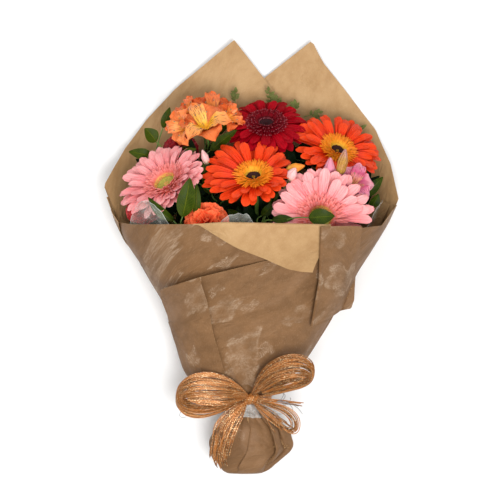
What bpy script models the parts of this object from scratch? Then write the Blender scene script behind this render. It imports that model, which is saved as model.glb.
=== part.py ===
"""Wrapped gerbera bouquet, lying on its back on a surface.

Metres, +Z up. The bouquet points along +Y: the flowers and the two peaks of the kraft paper are at +Y,
the paper pouch round the cut stems is at -Y. The paper's back rests on the surface at z = 0.
The origin is on the underside of the outer sheet, below the flower heads.
"""

import math
import random

import bmesh
import bpy
import numpy as np
from mathutils import Matrix, Vector

# Driving dimensions of the wrap
PAPER = 0.0006          # thickness of a sheet, stiffened from real kraft paper
NECK_Y = -0.198         # where the ribbon gathers the paper
NECK_Z = 0.0300         # height of the gathered neck's centre
FRONT_POWER = 0.80      # below 1 the front bulges more than an ellipse
FLAT_SHARE = 0.55       # share of the back's half width that lies flat
PLEATS = 9              # gathers round the neck

# How far each layer of paper lies outside the inner sheet
CELLOPHANE_LAYER = -0.0035
BAND_LAYER = 0.0028
BAND_FLARE = 0.0030      # how much more the band's free edge stands off
COLLAR_LAYER = 0.0072
OUTER_BACK_LAYER = 0.0028
OUTER_FRONT_LAYER = 0.0104
NECK_SHARE = 0.58        # the layers close up to this share of their distance at the neck

# The wrap's sections, from the closed end of the pouch to the peaks:
# y, left edge, right edge, lowest z, crease z, highest z, flatness of the back, depth of the pleats
SECTIONS = (
    (-0.2770, -0.020, 0.008, 0.0180, 0.0240, 0.0300, 0.0, 0.00),
    (-0.2745, -0.032, 0.018, 0.0120, 0.0240, 0.0370, 0.0, 0.02),
    (-0.2640, -0.043, 0.036, 0.0036, 0.0240, 0.0460, 0.0, 0.04),
    (-0.2450, -0.049, 0.046, 0.0018, 0.0240, 0.0520, 0.0, 0.05),
    (-0.2270, -0.040, 0.036, 0.0040, 0.0260, 0.0530, 0.0, 0.06),
    (-0.2130, -0.024, 0.022, 0.0120, 0.0290, 0.0470, 0.0, 0.06),
    (-0.2030, -0.0152, 0.0148, 0.0170, 0.0300, 0.0430, 0.0, 0.04),
    (-0.1930, -0.0152, 0.0148, 0.0170, 0.0300, 0.0430, 0.0, 0.00),
    (-0.1830, -0.034, 0.028, 0.0120, 0.0300, 0.0500, 0.1, 0.00),
    (-0.1640, -0.072, 0.052, 0.0056, 0.0290, 0.0660, 0.4, 0.00),
    (-0.1300, -0.086, 0.075, 0.0031, 0.0300, 0.0860, 0.9, 0.00),
    (-0.0960, -0.096, 0.096, 0.0031, 0.0340, 0.1030, 1.0, 0.00),
    (-0.0520, -0.118, 0.122, 0.0031, 0.0420, 0.1270, 1.0, 0.00),
    (-0.0080, -0.143, 0.150, 0.0031, 0.0500, 0.1520, 1.0, 0.00),
    (0.0380, -0.166, 0.171, 0.0031, 0.0550, 0.1660, 1.0, 0.00),
    (0.0900, -0.193, 0.198, 0.0031, 0.0560, 0.1700, 1.0, 0.00),
    (0.2180, -0.259, 0.265, 0.0031, 0.0560, 0.1750, 1.0, 0.00),
)

# Cut edges of the sheets seen from above, as x and y, from left to right
INNER_BACK_EDGE = (
    (-0.163, 0.040), (-0.138, 0.090), (-0.1125, 0.127), (-0.0805, 0.1625), (-0.018, 0.2175),
    (0.016, 0.174), (0.104, 0.060), (0.172, 0.020),
)
OUTER_BACK_EDGE = (
    (-0.172, 0.034), (-0.104, 0.078), (0.016, 0.174), (0.071, 0.2170), (0.083, 0.193), (0.109, 0.161),
    (0.144, 0.115), (0.160, 0.075), (0.168, 0.031),
)
FRONT_EDGE = (
    (-0.163, 0.040), (-0.156, 0.022), (-0.141, 0.011), (-0.060, 0.006), (0.075, 0.002), (0.122, 0.001),
    (0.146, 0.004), (0.168, 0.031),
)
NECK_ROWS = (-0.1980, -0.1930, -0.1830, -0.1735, -0.1640, -0.1350)
UPPER_ROWS = 3
FRONT_COLUMNS = (-83, -76, -68, -60, -51, -42, -32, -21, -10, 0, 10, 21, 31, 41, 51, 61, 70, 79)
BACK_COLUMNS = (90, 104, 120, 137, 152, 165, 175, 184.4, 196, 208, 221, 234, 246, 257, 267)
PEAK_START_Y = 0.150     # from here the back of the paper curls up off the surface
PEAK_CURL = 0.010        # rise of the peaks

POUCH_ROWS = (-0.2770, -0.2735, -0.2620, -0.2450, -0.2270, -0.2130, -0.2030)

# Edges of the layers on the front, as y and x, from the neck up
STRIP_LEFT = ((-0.198, 0.006), (-0.113, 0.069), (-0.058, 0.078), (0.006, 0.079))
STRIP_RIGHT = ((-0.146, 0.066), (-0.113, 0.089), (-0.098, 0.099), (-0.086, 0.117), (-0.030, 0.124), (0.006, 0.128))
BAND_TOP_EDGE = ((-0.100, -0.070), (-0.052, -0.054), (0.014, -0.037), (0.100, -0.024), (0.172, -0.010))
COLLAR_EDGE = ((-0.063, 0.0065), (-0.032, -0.004), (0.014, -0.031), (0.046, -0.044), (0.073, -0.051))

# The bow: lengths of ribbon as x, y, z and half width along their line, and the direction of their width
KNOT = (0.0010, -0.1975, 0.0560)
RIBBON = (
    ("loop_left", (
        (0.001, -0.1980, 0.0585, 0.005), (-0.022, -0.1900, 0.0760, 0.013), (-0.050, -0.1890, 0.0860, 0.022),
        (-0.072, -0.1925, 0.0840, 0.017), (-0.0835, -0.1945, 0.0760, 0.008), (-0.076, -0.1945, 0.0690, 0.013),
        (-0.052, -0.1920, 0.0660, 0.020), (-0.022, -0.1930, 0.0610, 0.012), (0.001, -0.1980, 0.0545, 0.005),
    ), (0.05, 1.0)),
    ("loop_right", (
        (0.001, -0.1980, 0.0585, 0.005), (0.018, -0.1840, 0.0830, 0.010), (0.040, -0.1640, 0.1000, 0.016),
        (0.056, -0.1520, 0.1020, 0.017), (0.066, -0.1455, 0.0960, 0.011), (0.062, -0.1520, 0.0880, 0.016),
        (0.042, -0.1680, 0.0850, 0.016), (0.018, -0.1870, 0.0670, 0.010), (0.001, -0.1980, 0.0545, 0.005),
    ), (0.62, -0.78)),
    ("loop_small", (
        (0.001, -0.1980, 0.0580, 0.004), (0.022, -0.1930, 0.0640, 0.006), (0.044, -0.1940, 0.0660, 0.008),
        (0.056, -0.1985, 0.0610, 0.006), (0.046, -0.2000, 0.0580, 0.007), (0.022, -0.1990, 0.0570, 0.005),
        (0.001, -0.1980, 0.0545, 0.004),
    ), (0.05, -1.0)),
    ("tail_left", (
        (0.001, -0.1980, 0.0570, 0.005), (-0.010, -0.2120, 0.0600, 0.007), (-0.020, -0.2300, 0.0640, 0.010),
        (-0.0285, -0.2480, 0.0605, 0.011), (-0.035, -0.2690, 0.0560, 0.012),
    ), (1.0, -0.35)),
    ("tail_right", (
        (0.001, -0.1980, 0.0560, 0.005), (0.016, -0.2070, 0.0600, 0.007), (0.032, -0.2180, 0.0600, 0.009),
        (0.046, -0.2350, 0.0560, 0.010),
    ), (0.7, 0.7)),
    ("tail_middle", (
        (0.001, -0.1980, 0.0560, 0.004), (0.008, -0.2130, 0.0605, 0.005), (0.016, -0.2310, 0.0620, 0.006),
        (0.020, -0.2520, 0.0580, 0.006),
    ), (1.0, 0.25)),
)

# Where each stem passes the neck, as x and z from the neck's centre
SLOTS = {
    "foliage_front_left": (-0.0044, 0.0090),
    "carnation_orange": (0.0000, 0.0090),
    "foliage_front_right": (0.0044, 0.0090),
    "gerbera_pink_left": (-0.0078, 0.0046),
    "gerbera_orange_centre": (-0.0026, 0.0046),
    "alstroemeria_small": (0.0026, 0.0046),
    "gerbera_pink_right": (0.0077, 0.0046),
    "carnation_red_front": (-0.0121, 0.0000),
    "foliage_deep_left": (-0.0066, 0.0000),
    "foliage_middle": (-0.0018, 0.0000),
    "foliage_deep_right": (0.0030, 0.0000),
    "alstroemeria_pink": (0.0074, 0.0000),
    "foliage_right": (0.0118, 0.0000),
    "foliage_left": (-0.0092, -0.0048),
    "alstroemeria_orange": (-0.0044, -0.0048),
    "gerbera_red": (0.0006, -0.0048),
    "gerbera_orange_right": (0.0062, -0.0048),
    "carnation_red_back": (-0.0048, -0.0094),
    "sprig_back": (0.0010, -0.0094),
}
CUT_Y = -0.264           # where the stems are cut, inside the pouch
CUT_SPREAD = 1.5         # how far the stems part below the neck

# Gerbera heads: centre, tilt of the face from straight up, heading of that tilt, radius, cup, lean
# Tilt, heading, cup and lean are in degrees. Heading 90 is +Y. Lean lifts the upper petals and drops the lower ones.
GERBERAS = {
    "gerbera_orange_centre": ((0.0015, 0.0580, 0.1065), 38, 96, 0.053, 7, 0),
    "gerbera_orange_right": ((0.1000, 0.0900, 0.060), 40, 66, 0.0495, 6, 0),
    "gerbera_red": ((0.0150, 0.1210, 0.056), 48, 90, 0.0450, -2, 10),
    "gerbera_pink_left": ((-0.0934, 0.0530, 0.090), 36, 125, 0.052, 16, 0),
    "gerbera_pink_right": ((0.0815, 0.0160, 0.119), 8, 90, 0.0545, 3, 6),
}
GERBERA_COLOURS = {
    "gerbera_orange_centre": (0.90, 0.15, 0.02),
    "gerbera_orange_right": (0.90, 0.11, 0.01),
    "gerbera_red": (0.38, 0.00, 0.02),
    "gerbera_pink_left": (0.85, 0.30, 0.33),
    "gerbera_pink_right": (0.88, 0.38, 0.40),
}
FLORET_COLOURS = {
    "gerbera_orange_centre": (0.90, 0.42, 0.04),
    "gerbera_orange_right": (0.90, 0.38, 0.04),
    "gerbera_red": (0.45, 0.02, 0.05),
    "gerbera_pink_left": (0.85, 0.50, 0.22),
    "gerbera_pink_right": (0.90, 0.52, 0.20),
}
OUTER_RAYS = 18
INNER_RAYS = 8
SHORT_FLORETS = 8
STEM_RADIUS = 0.0023
BLADE = 0.0007           # thickness of petals and leaves

GREEN = (0.07, 0.17, 0.03)
DARK_GREEN = (0.03, 0.10, 0.02)
KRAFT = (0.42, 0.27, 0.14)


def clear_scene():
    """Removes every object of the open scene."""
    for obj in list(bpy.data.objects):
        bpy.data.objects.remove(obj)


def material(name, colour, roughness=0.6, metallic=0.0):
    """A Principled BSDF material, made once for each name."""
    found = bpy.data.materials.get(name)
    if found:
        return found
    made = bpy.data.materials.new(name)
    made.use_nodes = True
    shader = made.node_tree.nodes["Principled BSDF"]
    shader.inputs["Base Color"].default_value = (*colour, 1.0)
    shader.inputs["Roughness"].default_value = roughness
    shader.inputs["Metallic"].default_value = metallic
    return made


def to_object(name, bm, surface=None):
    """Makes a linked object of a bmesh and frees it."""
    mesh = bpy.data.meshes.new(name)
    bm.to_mesh(mesh)
    bm.free()
    obj = bpy.data.objects.new(name, mesh)
    bouquet().objects.link(obj)
    if surface:
        mesh.materials.append(surface)
    return obj


def bouquet():
    """The collection that holds the object's pieces."""
    found = bpy.data.collections.get("gerbera_bouquet")
    if not found:
        found = bpy.data.collections.new("gerbera_bouquet")
        bpy.context.scene.collection.children.link(found)
    return found


def evaluated_mesh(obj):
    """The object's mesh with its modifiers applied."""
    bpy.context.view_layer.update()
    return bpy.data.meshes.new_from_object(obj.evaluated_get(bpy.context.evaluated_depsgraph_get()))


def surface_grid(across, along, point):
    """A bmesh grid whose vertices lie at point(u, v), with u and v from 0 to 1."""
    bm = bmesh.new()
    bmesh.ops.create_grid(bm, x_segments=across, y_segments=along, size=1.0)
    for vertex in bm.verts:
        vertex.co = Vector(point((vertex.co.x + 1) / 2, (vertex.co.y + 1) / 2))
    return bm


def thickened(obj, thickness):
    """Gives an open surface its wall, half of it on each side."""
    wall = obj.modifiers.new("wall", "SOLIDIFY")
    wall.thickness = thickness
    wall.offset = 0.0
    return obj


def fused(name, base, pieces, surface, solver="EXACT"):
    """Joins the pieces to the base by one Boolean union, and removes them."""
    repeats = bpy.data.collections.new(name + "_repeats")
    bpy.context.scene.collection.children.link(repeats)
    for piece in pieces:
        bouquet().objects.unlink(piece)
        repeats.objects.link(piece)
    join = base.modifiers.new("join", "BOOLEAN")
    join.operation = "UNION"
    join.solver = solver
    join.operand_type = "COLLECTION"
    join.collection = repeats
    joined = evaluated_mesh(base)
    base.modifiers.clear()
    base.data = joined
    base.data.materials.clear()
    base.data.materials.append(surface)
    base.name = name
    for piece in list(repeats.objects):
        bpy.data.objects.remove(piece)
    bpy.data.collections.remove(repeats)
    return base


def smooth_through(x, xs, values):
    """A monotone cubic curve through (xs, values), read at x. xs rises."""
    xs, values = np.asarray(xs), np.asarray(values)
    steps = np.diff(xs)
    slopes = np.diff(values) / steps
    tangents = np.zeros(len(xs))
    tangents[0], tangents[-1] = slopes[0], slopes[-1]
    inside = slopes[:-1] * slopes[1:] > 0
    weight = steps[:-1] + 2 * steps[1:], 2 * steps[:-1] + steps[1:]
    with np.errstate(divide="ignore", invalid="ignore"):
        harmonic = (weight[0] + weight[1]) / (weight[0] / slopes[:-1] + weight[1] / slopes[1:])
    tangents[1:-1] = np.where(inside, harmonic, 0.0)
    i = int(np.clip(np.searchsorted(xs, x) - 1, 0, len(steps) - 1))
    t = (x - xs[i]) / steps[i]
    h = steps[i]
    return (
        (1 + 2 * t) * (1 - t) ** 2 * values[i] + t * (1 - t) ** 2 * h * tangents[i]
        + t * t * (3 - 2 * t) * values[i + 1] + t * t * (t - 1) * h * tangents[i + 1]
    )


def section(y):
    """The wrap's section at y: left, right, lowest, crease and highest, flatness and pleat depth."""
    rows = np.asarray(SECTIONS)
    return [smooth_through(y, rows[:, 0], rows[:, k]) for k in range(1, rows.shape[1])]


def wrap_point(angle, y, layer):
    """A point of the wrap's layer. Angle 0 is the middle of the front, 90 degrees the right crease, 180 the back."""
    left, right, low, crease, high, flat, pleat = section(y)
    u = math.sin(angle)
    layer *= layer_share(y)
    half = (right - left) / 2 + layer
    if math.cos(angle) >= 0:
        power = 1 + (FRONT_POWER - 1) * flat
        z = crease + (high + layer - crease) * max(math.cos(angle), 0.0) ** power
    else:
        ramp = max(0.0, (abs(u) - FLAT_SHARE) / (1 - FLAT_SHARE)) ** 2
        rise = flat * ramp + (1 - flat) * (1 - math.sqrt(max(0.0, 1 - u * u)))
        z = low - layer + (crease - low + layer) * rise
    gather = 1 + pleat * math.cos(PLEATS * angle)
    x = (left + right) / 2 + half * u * gather
    z = crease + (z - crease) * gather
    curl = max(0.0, (y - PEAK_START_Y) / (SECTIONS[-1][0] - PEAK_START_Y)) ** 2
    return x, y, z + PEAK_CURL * curl


def layer_share(y):
    """How far the layers have parted at y, from NECK_SHARE at the neck to 1 in the cone."""
    t = min(1.0, max(0.0, (y - NECK_Y - 0.010) / 0.075))
    return NECK_SHARE + (1 - NECK_SHARE) * t * t * (3 - 2 * t)


def cone_rows(top, start=0):
    """Heights of the rows of a sheet, shared by all layers near the neck and even from there to its top."""
    low = NECK_ROWS[start:]
    return [*low, *(low[-1] + (top - low[-1]) * k / UPPER_ROWS for k in range(1, UPPER_ROWS + 1))]


def edge_y(edge, x):
    """Height along +Y of a cut edge over x."""
    return float(np.interp(x, [p[0] for p in edge], [p[1] for p in edge]))


def top_of(angle_at, front, back, layer):
    """The y at which a line of the paper from the neck meets its cut edge."""
    low, high = NECK_Y, SECTIONS[-1][0]
    for _ in range(30):
        y = (low + high) / 2
        angle = angle_at(y)
        edge = front if math.cos(angle) >= 0 else back
        if y < edge_y(edge, wrap_point(angle, y, layer)[0]):
            low = y
        else:
            high = y
    return low


def front_angle(x, y, layer):
    """The angle of the front's point over x at y."""
    left, right = section(y)[:2]
    u = (x - (left + right) / 2) / ((right - left) / 2 + layer)
    return math.asin(max(-1.0, min(1.0, u)))


def inner_sheet():
    """The inner sheet: the closed pouch, the neck, the cone with its left peak, and the collar folded out."""
    columns = [math.radians(a) for a in (*FRONT_COLUMNS, *BACK_COLUMNS)]
    columns.append(columns[0] + 2 * math.pi)
    pouch_y = POUCH_ROWS
    down = len(pouch_y)

    def point(u, v):
        angle = columns[round(u * (len(columns) - 1))]
        row = round(v * (down + len(NECK_ROWS) + UPPER_ROWS - 2))
        if row < down:
            return wrap_point(angle, pouch_y[row], 0.0)
        top = top_of(lambda y: angle, FRONT_EDGE, INNER_BACK_EDGE, 0.0)
        return wrap_point(angle, cone_rows(top, 1)[row - down], 0.0)

    bm = surface_grid(len(columns) - 1, down + len(NECK_ROWS) + UPPER_ROWS - 2, point)
    first, last = 7, 12

    def collar_point(u, v):
        angle = columns[first + round(u * (last - first))]
        top = top_of(lambda y: angle, FRONT_EDGE, INNER_BACK_EDGE, 0.0)
        row = round(v * 6)
        if row <= 3:
            turn = math.pi * row / 3
            layer = COLLAR_LAYER * (1 - math.cos(turn)) / 2
            return wrap_point(angle, top + COLLAR_LAYER / 2 * math.sin(turn), layer)
        x = wrap_point(angle, top, 0.0)[0]
        foot = min(edge_y(COLLAR_EDGE, x), top - 0.006)
        return wrap_point(angle, top + (foot - top) * (row - 3) / 3, COLLAR_LAYER)

    add_grid(bm, surface_grid(last - first, 6, collar_point))
    foot = [edge for edge in bm.edges if edge.is_boundary and max(v.co.y for v in edge.verts) < -0.27]
    bmesh.ops.holes_fill(bm, edges=foot)
    bmesh.ops.recalc_face_normals(bm, faces=bm.faces)
    return thickened(to_object("paper_inner_sheet", bm, material("kraft", KRAFT, 0.75)), PAPER)


def add_grid(bm, grid):
    """Welds a second grid into bm along their shared edge."""
    mesh = bpy.data.meshes.new("part")
    grid.to_mesh(mesh)
    grid.free()
    bm.from_mesh(mesh)
    bmesh.ops.remove_doubles(bm, verts=bm.verts, dist=0.00002)


def outer_layer(angle):
    """Layer of the outer sheet: close behind the inner one on the back, over the collar on the front."""
    front = min(1.0, max(0.0, 1 - (angle - 1.25) / 0.7))
    return OUTER_BACK_LAYER + (OUTER_FRONT_LAYER - OUTER_BACK_LAYER) * front


def outer_sheet():
    """The outer sheet: the right peak, the back, the right side and the pleat that laps over the front."""
    shared = [math.radians(a) for a in (70, 79, *BACK_COLUMNS, 277, 284)]
    lead = 3
    rows = len(NECK_ROWS) + UPPER_ROWS - 1
    flap_from = rows - 4

    def angle_of(column, y):
        if column >= lead:
            return shared[column - lead]
        x = edge_y(STRIP_LEFT, y)
        start = front_angle(x, y, OUTER_FRONT_LAYER)
        return start + (shared[0] - start) * column / lead

    def place(column, y, lift=0.0):
        angle = angle_of(column, y)
        return wrap_point(angle, y, outer_layer(angle) + lift)

    def heights(column):
        return cone_rows(top_of(lambda y: angle_of(column, y), FRONT_EDGE, OUTER_BACK_EDGE, OUTER_FRONT_LAYER))

    last = lead + len(shared) - 1

    def point(u, v):
        column = round(u * last)
        return place(column, heights(column)[round(v * rows)])

    bm = surface_grid(last, rows, point)

    def flap_point(u, v):
        y = heights(0)[flap_from + round(v * (rows - flap_from))]
        column = round(u * 5)
        if column <= 2:
            turn = math.pi * column / 2
            x, y, z = place(0, y, 0.0013 * (1 - math.cos(turn)))
            return x - 0.0013 * math.sin(turn), y, z
        left = place(0, y, 0.0026)
        right_x = edge_y(STRIP_RIGHT, y)
        x = left[0] + (right_x - left[0]) * (column - 2) / 3
        angle = front_angle(min(x, 0.97 * section(y)[1]), y, OUTER_FRONT_LAYER)
        return x, y, wrap_point(angle, y, OUTER_FRONT_LAYER + 0.0026 + 0.0010 * (column - 2))[2]

    add_grid(bm, surface_grid(5, rows - flap_from, flap_point))
    bmesh.ops.recalc_face_normals(bm, faces=bm.faces)
    return thickened(to_object("paper_outer_sheet", bm, material("kraft", KRAFT, 0.75)), PAPER)


def front_band():
    """The lower band that laps over the front of the cone, from its left hem to under the pleat."""
    columns = [math.radians(a) for a in FRONT_COLUMNS[2:-2]]

    def point(u, v):
        angle = columns[round(u * (len(columns) - 1))]
        low, high = NECK_Y, 0.0
        for _ in range(30):
            y = (low + high) / 2
            if y < edge_y(BAND_TOP_EDGE, wrap_point(angle, y, BAND_LAYER)[0]):
                low = y
            else:
                high = y
        row = round(v * (len(NECK_ROWS) + UPPER_ROWS - 1))
        flare = BAND_FLARE * max(0.0, row - len(NECK_ROWS)) / 2 if angle < 0.2 else 0.0
        return wrap_point(angle, cone_rows(low)[row], BAND_LAYER + flare)

    bm = surface_grid(len(columns) - 1, len(NECK_ROWS) + UPPER_ROWS - 1, point)
    return thickened(to_object("paper_front_band", bm, material("kraft", KRAFT, 0.75)), PAPER)


def cellophane():
    """The clear sleeve inside the paper, whose crumpled edge stands above the front edge in three places."""
    columns = [math.radians(a) for a in FRONT_COLUMNS]
    bumps = ((-0.112, 0.020, 0.026), (0.000, 0.013, 0.020), (0.150, 0.024, 0.026))

    def point(u, v):
        angle = columns[round(u * (len(columns) - 1))]
        top = top_of(lambda y: angle, FRONT_EDGE, FRONT_EDGE, CELLOPHANE_LAYER) - 0.006
        x = wrap_point(angle, top, CELLOPHANE_LAYER)[0]
        rise = sum(h * math.exp(-(((x - c) / w) ** 2)) for c, h, w in bumps)
        y = -0.050 + v * (top + rise + 0.050)
        return wrap_point(angle, y, CELLOPHANE_LAYER - 0.004 * rise / 0.02 * v)

    bm = surface_grid(len(columns) - 1, 3, point)
    clear = material("cellophane", (0.75, 0.78, 0.74), 0.15)
    return thickened(to_object("cellophane_sleeve", bm, clear), PAPER)


def neck_tape():
    """The clear tape round the pouch's top, just under the ribbon."""
    columns = [math.radians(a) for a in (*FRONT_COLUMNS, *BACK_COLUMNS)]
    columns.append(columns[0] + 2 * math.pi)

    def point(u, v):
        angle = columns[round(u * (len(columns) - 1))]
        foot, top = Vector(wrap_point(angle, POUCH_ROWS[-2], 0.0020)), Vector(wrap_point(angle, POUCH_ROWS[-1], 0.0020))
        return foot.lerp(top, 0.05 + 0.60 * v)

    bm = surface_grid(len(columns) - 1, 1, point)
    bmesh.ops.remove_doubles(bm, verts=bm.verts, dist=0.00002)
    return thickened(to_object("neck_tape", bm, material("clear_tape", (0.8, 0.8, 0.78), 0.2)), 0.0005)


def ring(name, centre, half_x, half_z, width, thickness, surface=None):
    """A flat band round the stems or the neck, whose axis is along Y."""
    def point(u, v):
        turn = 2 * math.pi * u
        y = centre[1] + (v - 0.5) * width
        return centre[0] + half_x * math.sin(turn), y, centre[2] + half_z * math.cos(turn)

    bm = surface_grid(16, 1, point)
    bmesh.ops.remove_doubles(bm, verts=bm.verts, dist=0.00002)
    bmesh.ops.recalc_face_normals(bm, faces=bm.faces)
    return thickened(to_object(name, bm, surface), thickness)


def ribbon_piece(name, path, across, thickness):
    """A length of ribbon: path is (x, y, z, half width) and across the direction of its width seen from above."""
    side = Vector(across).normalized()

    def point(u, v):
        x, y, z, half = path[round(v * (len(path) - 1))]
        edge = (2 * u - 1) * half
        return x + side.x * edge, y + side.y * edge, z - 0.10 * abs(edge)

    obj = thickened(to_object(name, surface_grid(1, len(path) - 1, point)), thickness)
    mesh = evaluated_mesh(obj)
    obj.modifiers.clear()
    obj.data = mesh
    return obj


def ribbon_bow():
    """The bow on the neck's front: a ring round the neck, a knot, two loops, a small loop and three tails."""
    base = ring("bow_ring", (-0.0002, NECK_Y, NECK_Z), 0.0232, 0.0212, 0.0075, 0.0010)
    base.data = evaluated_mesh(base)
    base.modifiers.clear()
    pieces = [ribbon_piece(name, path, across, 0.0010) for name, path, across in RIBBON]
    knot = turned("bow_knot", ((0, 0.0060), (0.0040, 0.0052), (0.0066, 0.0018), (0.0066, -0.0020), (0.0040, -0.0052), (0, -0.0060)), 10)
    knot.data.transform(Matrix.Translation(KNOT))
    return fused("ribbon_bow", base, [*pieces, knot], material("copper_ribbon", (0.55, 0.27, 0.10), 0.35, 0.5))


def head_matrix(centre, tilt, heading):
    """Frame of a head: Z along its face's normal, Y along +Y of the bouquet as seen on the face."""
    tilt, heading = math.radians(tilt), math.radians(heading)
    normal = Vector((
        math.sin(tilt) * math.cos(heading), math.sin(tilt) * math.sin(heading), math.cos(tilt),
    ))
    return axis_matrix(centre, normal)


def axis_matrix(centre, normal):
    """Frame at centre with Z along normal and Y nearest to +Y, or to +Z where the normal is near +Y."""
    normal = Vector(normal).normalized()
    up = Vector((0, 1, 0)) if abs(normal.y) < 0.95 else Vector((0, 0, 1))
    y_axis = (up - normal * up.dot(normal)).normalized()
    x_axis = y_axis.cross(normal)
    frame = Matrix((x_axis, y_axis, normal)).transposed().to_4x4()
    frame.translation = Vector(centre)
    return frame


def blade(name, rows, thickness, frame):
    """A petal or leaf: a strip through rows of (x, half width, z), walled, and placed by a frame."""
    def point(u, v):
        x, half, z = rows[round(v * (len(rows) - 1))]
        return x, (2 * u - 1) * half, z

    obj = thickened(to_object(name, surface_grid(1, len(rows) - 1, point)), thickness)
    mesh = evaluated_mesh(obj)
    mesh.transform(frame)
    obj.modifiers.clear()
    obj.data = mesh
    return obj


def ray_rows(root, tip, lift, wide, fine):
    """Rows of a ray petal from radius root to tip: narrow at its root, widest near its blunt tip."""
    length = tip - root
    shares = ((0.0, 0.34), (0.78, 1.0), (1.0, 0.48)) if fine else ((0.0, 0.40), (0.72, 1.0), (1.0, 0.45))
    rise, run = math.sin(lift) * length, math.cos(lift) * length
    return [(root + s * run, wide * w, s * rise + 0.05 * length * math.sin(math.pi * s)) for s, w in shares]


def rays(head, count, root, radius, height, lift, lean, wide, rng, turn=0.0, fine=True):
    """One layer of a gerbera's ray petals, in the head's own frame. A ray that would cross the paper is tucked in."""
    petals = []
    for i in range(count):
        around = 2 * math.pi * (i + turn + rng.uniform(-0.12, 0.12)) / count
        up = lift + lean * math.sin(around) + rng.uniform(-2.5, 2.5)
        length = radius * rng.uniform(0.94, 1.0)
        frame = (
            Matrix.Translation((0, 0, height)) @ Matrix.Rotation(around, 4, "Z")
            @ Matrix.Rotation(rng.uniform(-0.12, 0.12), 4, "X")
        )
        for drop, share in ((0, 1.0), (6, 1.0), (12, 1.0), (18, 0.95), (24, 0.85), (30, 0.7), (34, 0.55)):
            rows = ray_rows(root, share * length, math.radians(up - drop), wide, fine)
            places = [head @ frame @ Vector((x, side * half, z)) for x, half, z in rows for side in (-1, 0, 1)]
            middles = [places[k].lerp(places[k + 3], 0.5) for k in range(len(places) - 3)]
            if all(clear_of_front(place) for place in places + middles):
                break
        petals.append(blade("ray", rows, BLADE, frame))
    return petals


def turned(name, profile, steps):
    """A solid turned round Z from a profile of (radius, z) that runs down its outer side."""
    bm = bmesh.new()
    points = [bm.verts.new((r, 0, z)) for r, z in profile]
    for a, b in zip(points, points[1:]):
        bm.edges.new((a, b))
    obj = to_object(name, bm)
    screw = obj.modifiers.new("turn", "SCREW")
    screw.steps = screw.render_steps = steps
    screw.use_merge_vertices = True
    screw.merge_threshold = 0.00005
    mesh = evaluated_mesh(obj)
    obj.modifiers.clear()
    obj.data = mesh
    return obj


def tube(name, points, radius, sides=6):
    """A round stem through points, as a mesh with welded caps."""
    curve = bpy.data.curves.new(name, "CURVE")
    curve.dimensions = "3D"
    curve.bevel_depth = radius
    curve.bevel_resolution = (sides - 4) // 2
    curve.use_fill_caps = True
    spline = curve.splines.new("POLY")
    spline.points.add(len(points) - 1)
    for slot, place in zip(spline.points, points):
        slot.co = (*place, 1.0)
    drawn = bpy.data.objects.new(name, curve)
    bouquet().objects.link(drawn)
    mesh = evaluated_mesh(drawn)
    bpy.data.objects.remove(drawn)
    bm = bmesh.new()
    bm.from_mesh(mesh)
    bmesh.ops.remove_doubles(bm, verts=bm.verts, dist=0.00002)
    return to_object(name, bm)


def stem_points(name, top, direction, steps=7):
    """A stem's line: from its cut end through its place in the neck, curving into the head along direction."""
    slot_x, slot_z = SLOTS[name]
    cut = Vector((slot_x * CUT_SPREAD, CUT_Y, NECK_Z + slot_z * CUT_SPREAD - 0.002))
    below = Vector((slot_x, NECK_Y - 0.006, NECK_Z + slot_z))
    neck = Vector((slot_x, NECK_Y + 0.004, NECK_Z + slot_z))
    top, direction = Vector(top), Vector(direction).normalized()
    reach = (top - neck).length
    towards = (Vector((0, 1, 0)) + 0.35 * (top - neck).normalized()).normalized()
    first = neck + towards * 0.33 * reach
    second = top - direction * 0.30 * reach
    second.z = max(second.z, 0.30 * top.z + 0.009)
    points = [cut, below]
    for i in range(steps + 1):
        t = i / steps
        points.append(
            (1 - t) ** 3 * neck + 3 * t * (1 - t) ** 2 * first + 3 * t * t * (1 - t) * second + t**3 * top
        )
    return points


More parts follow.
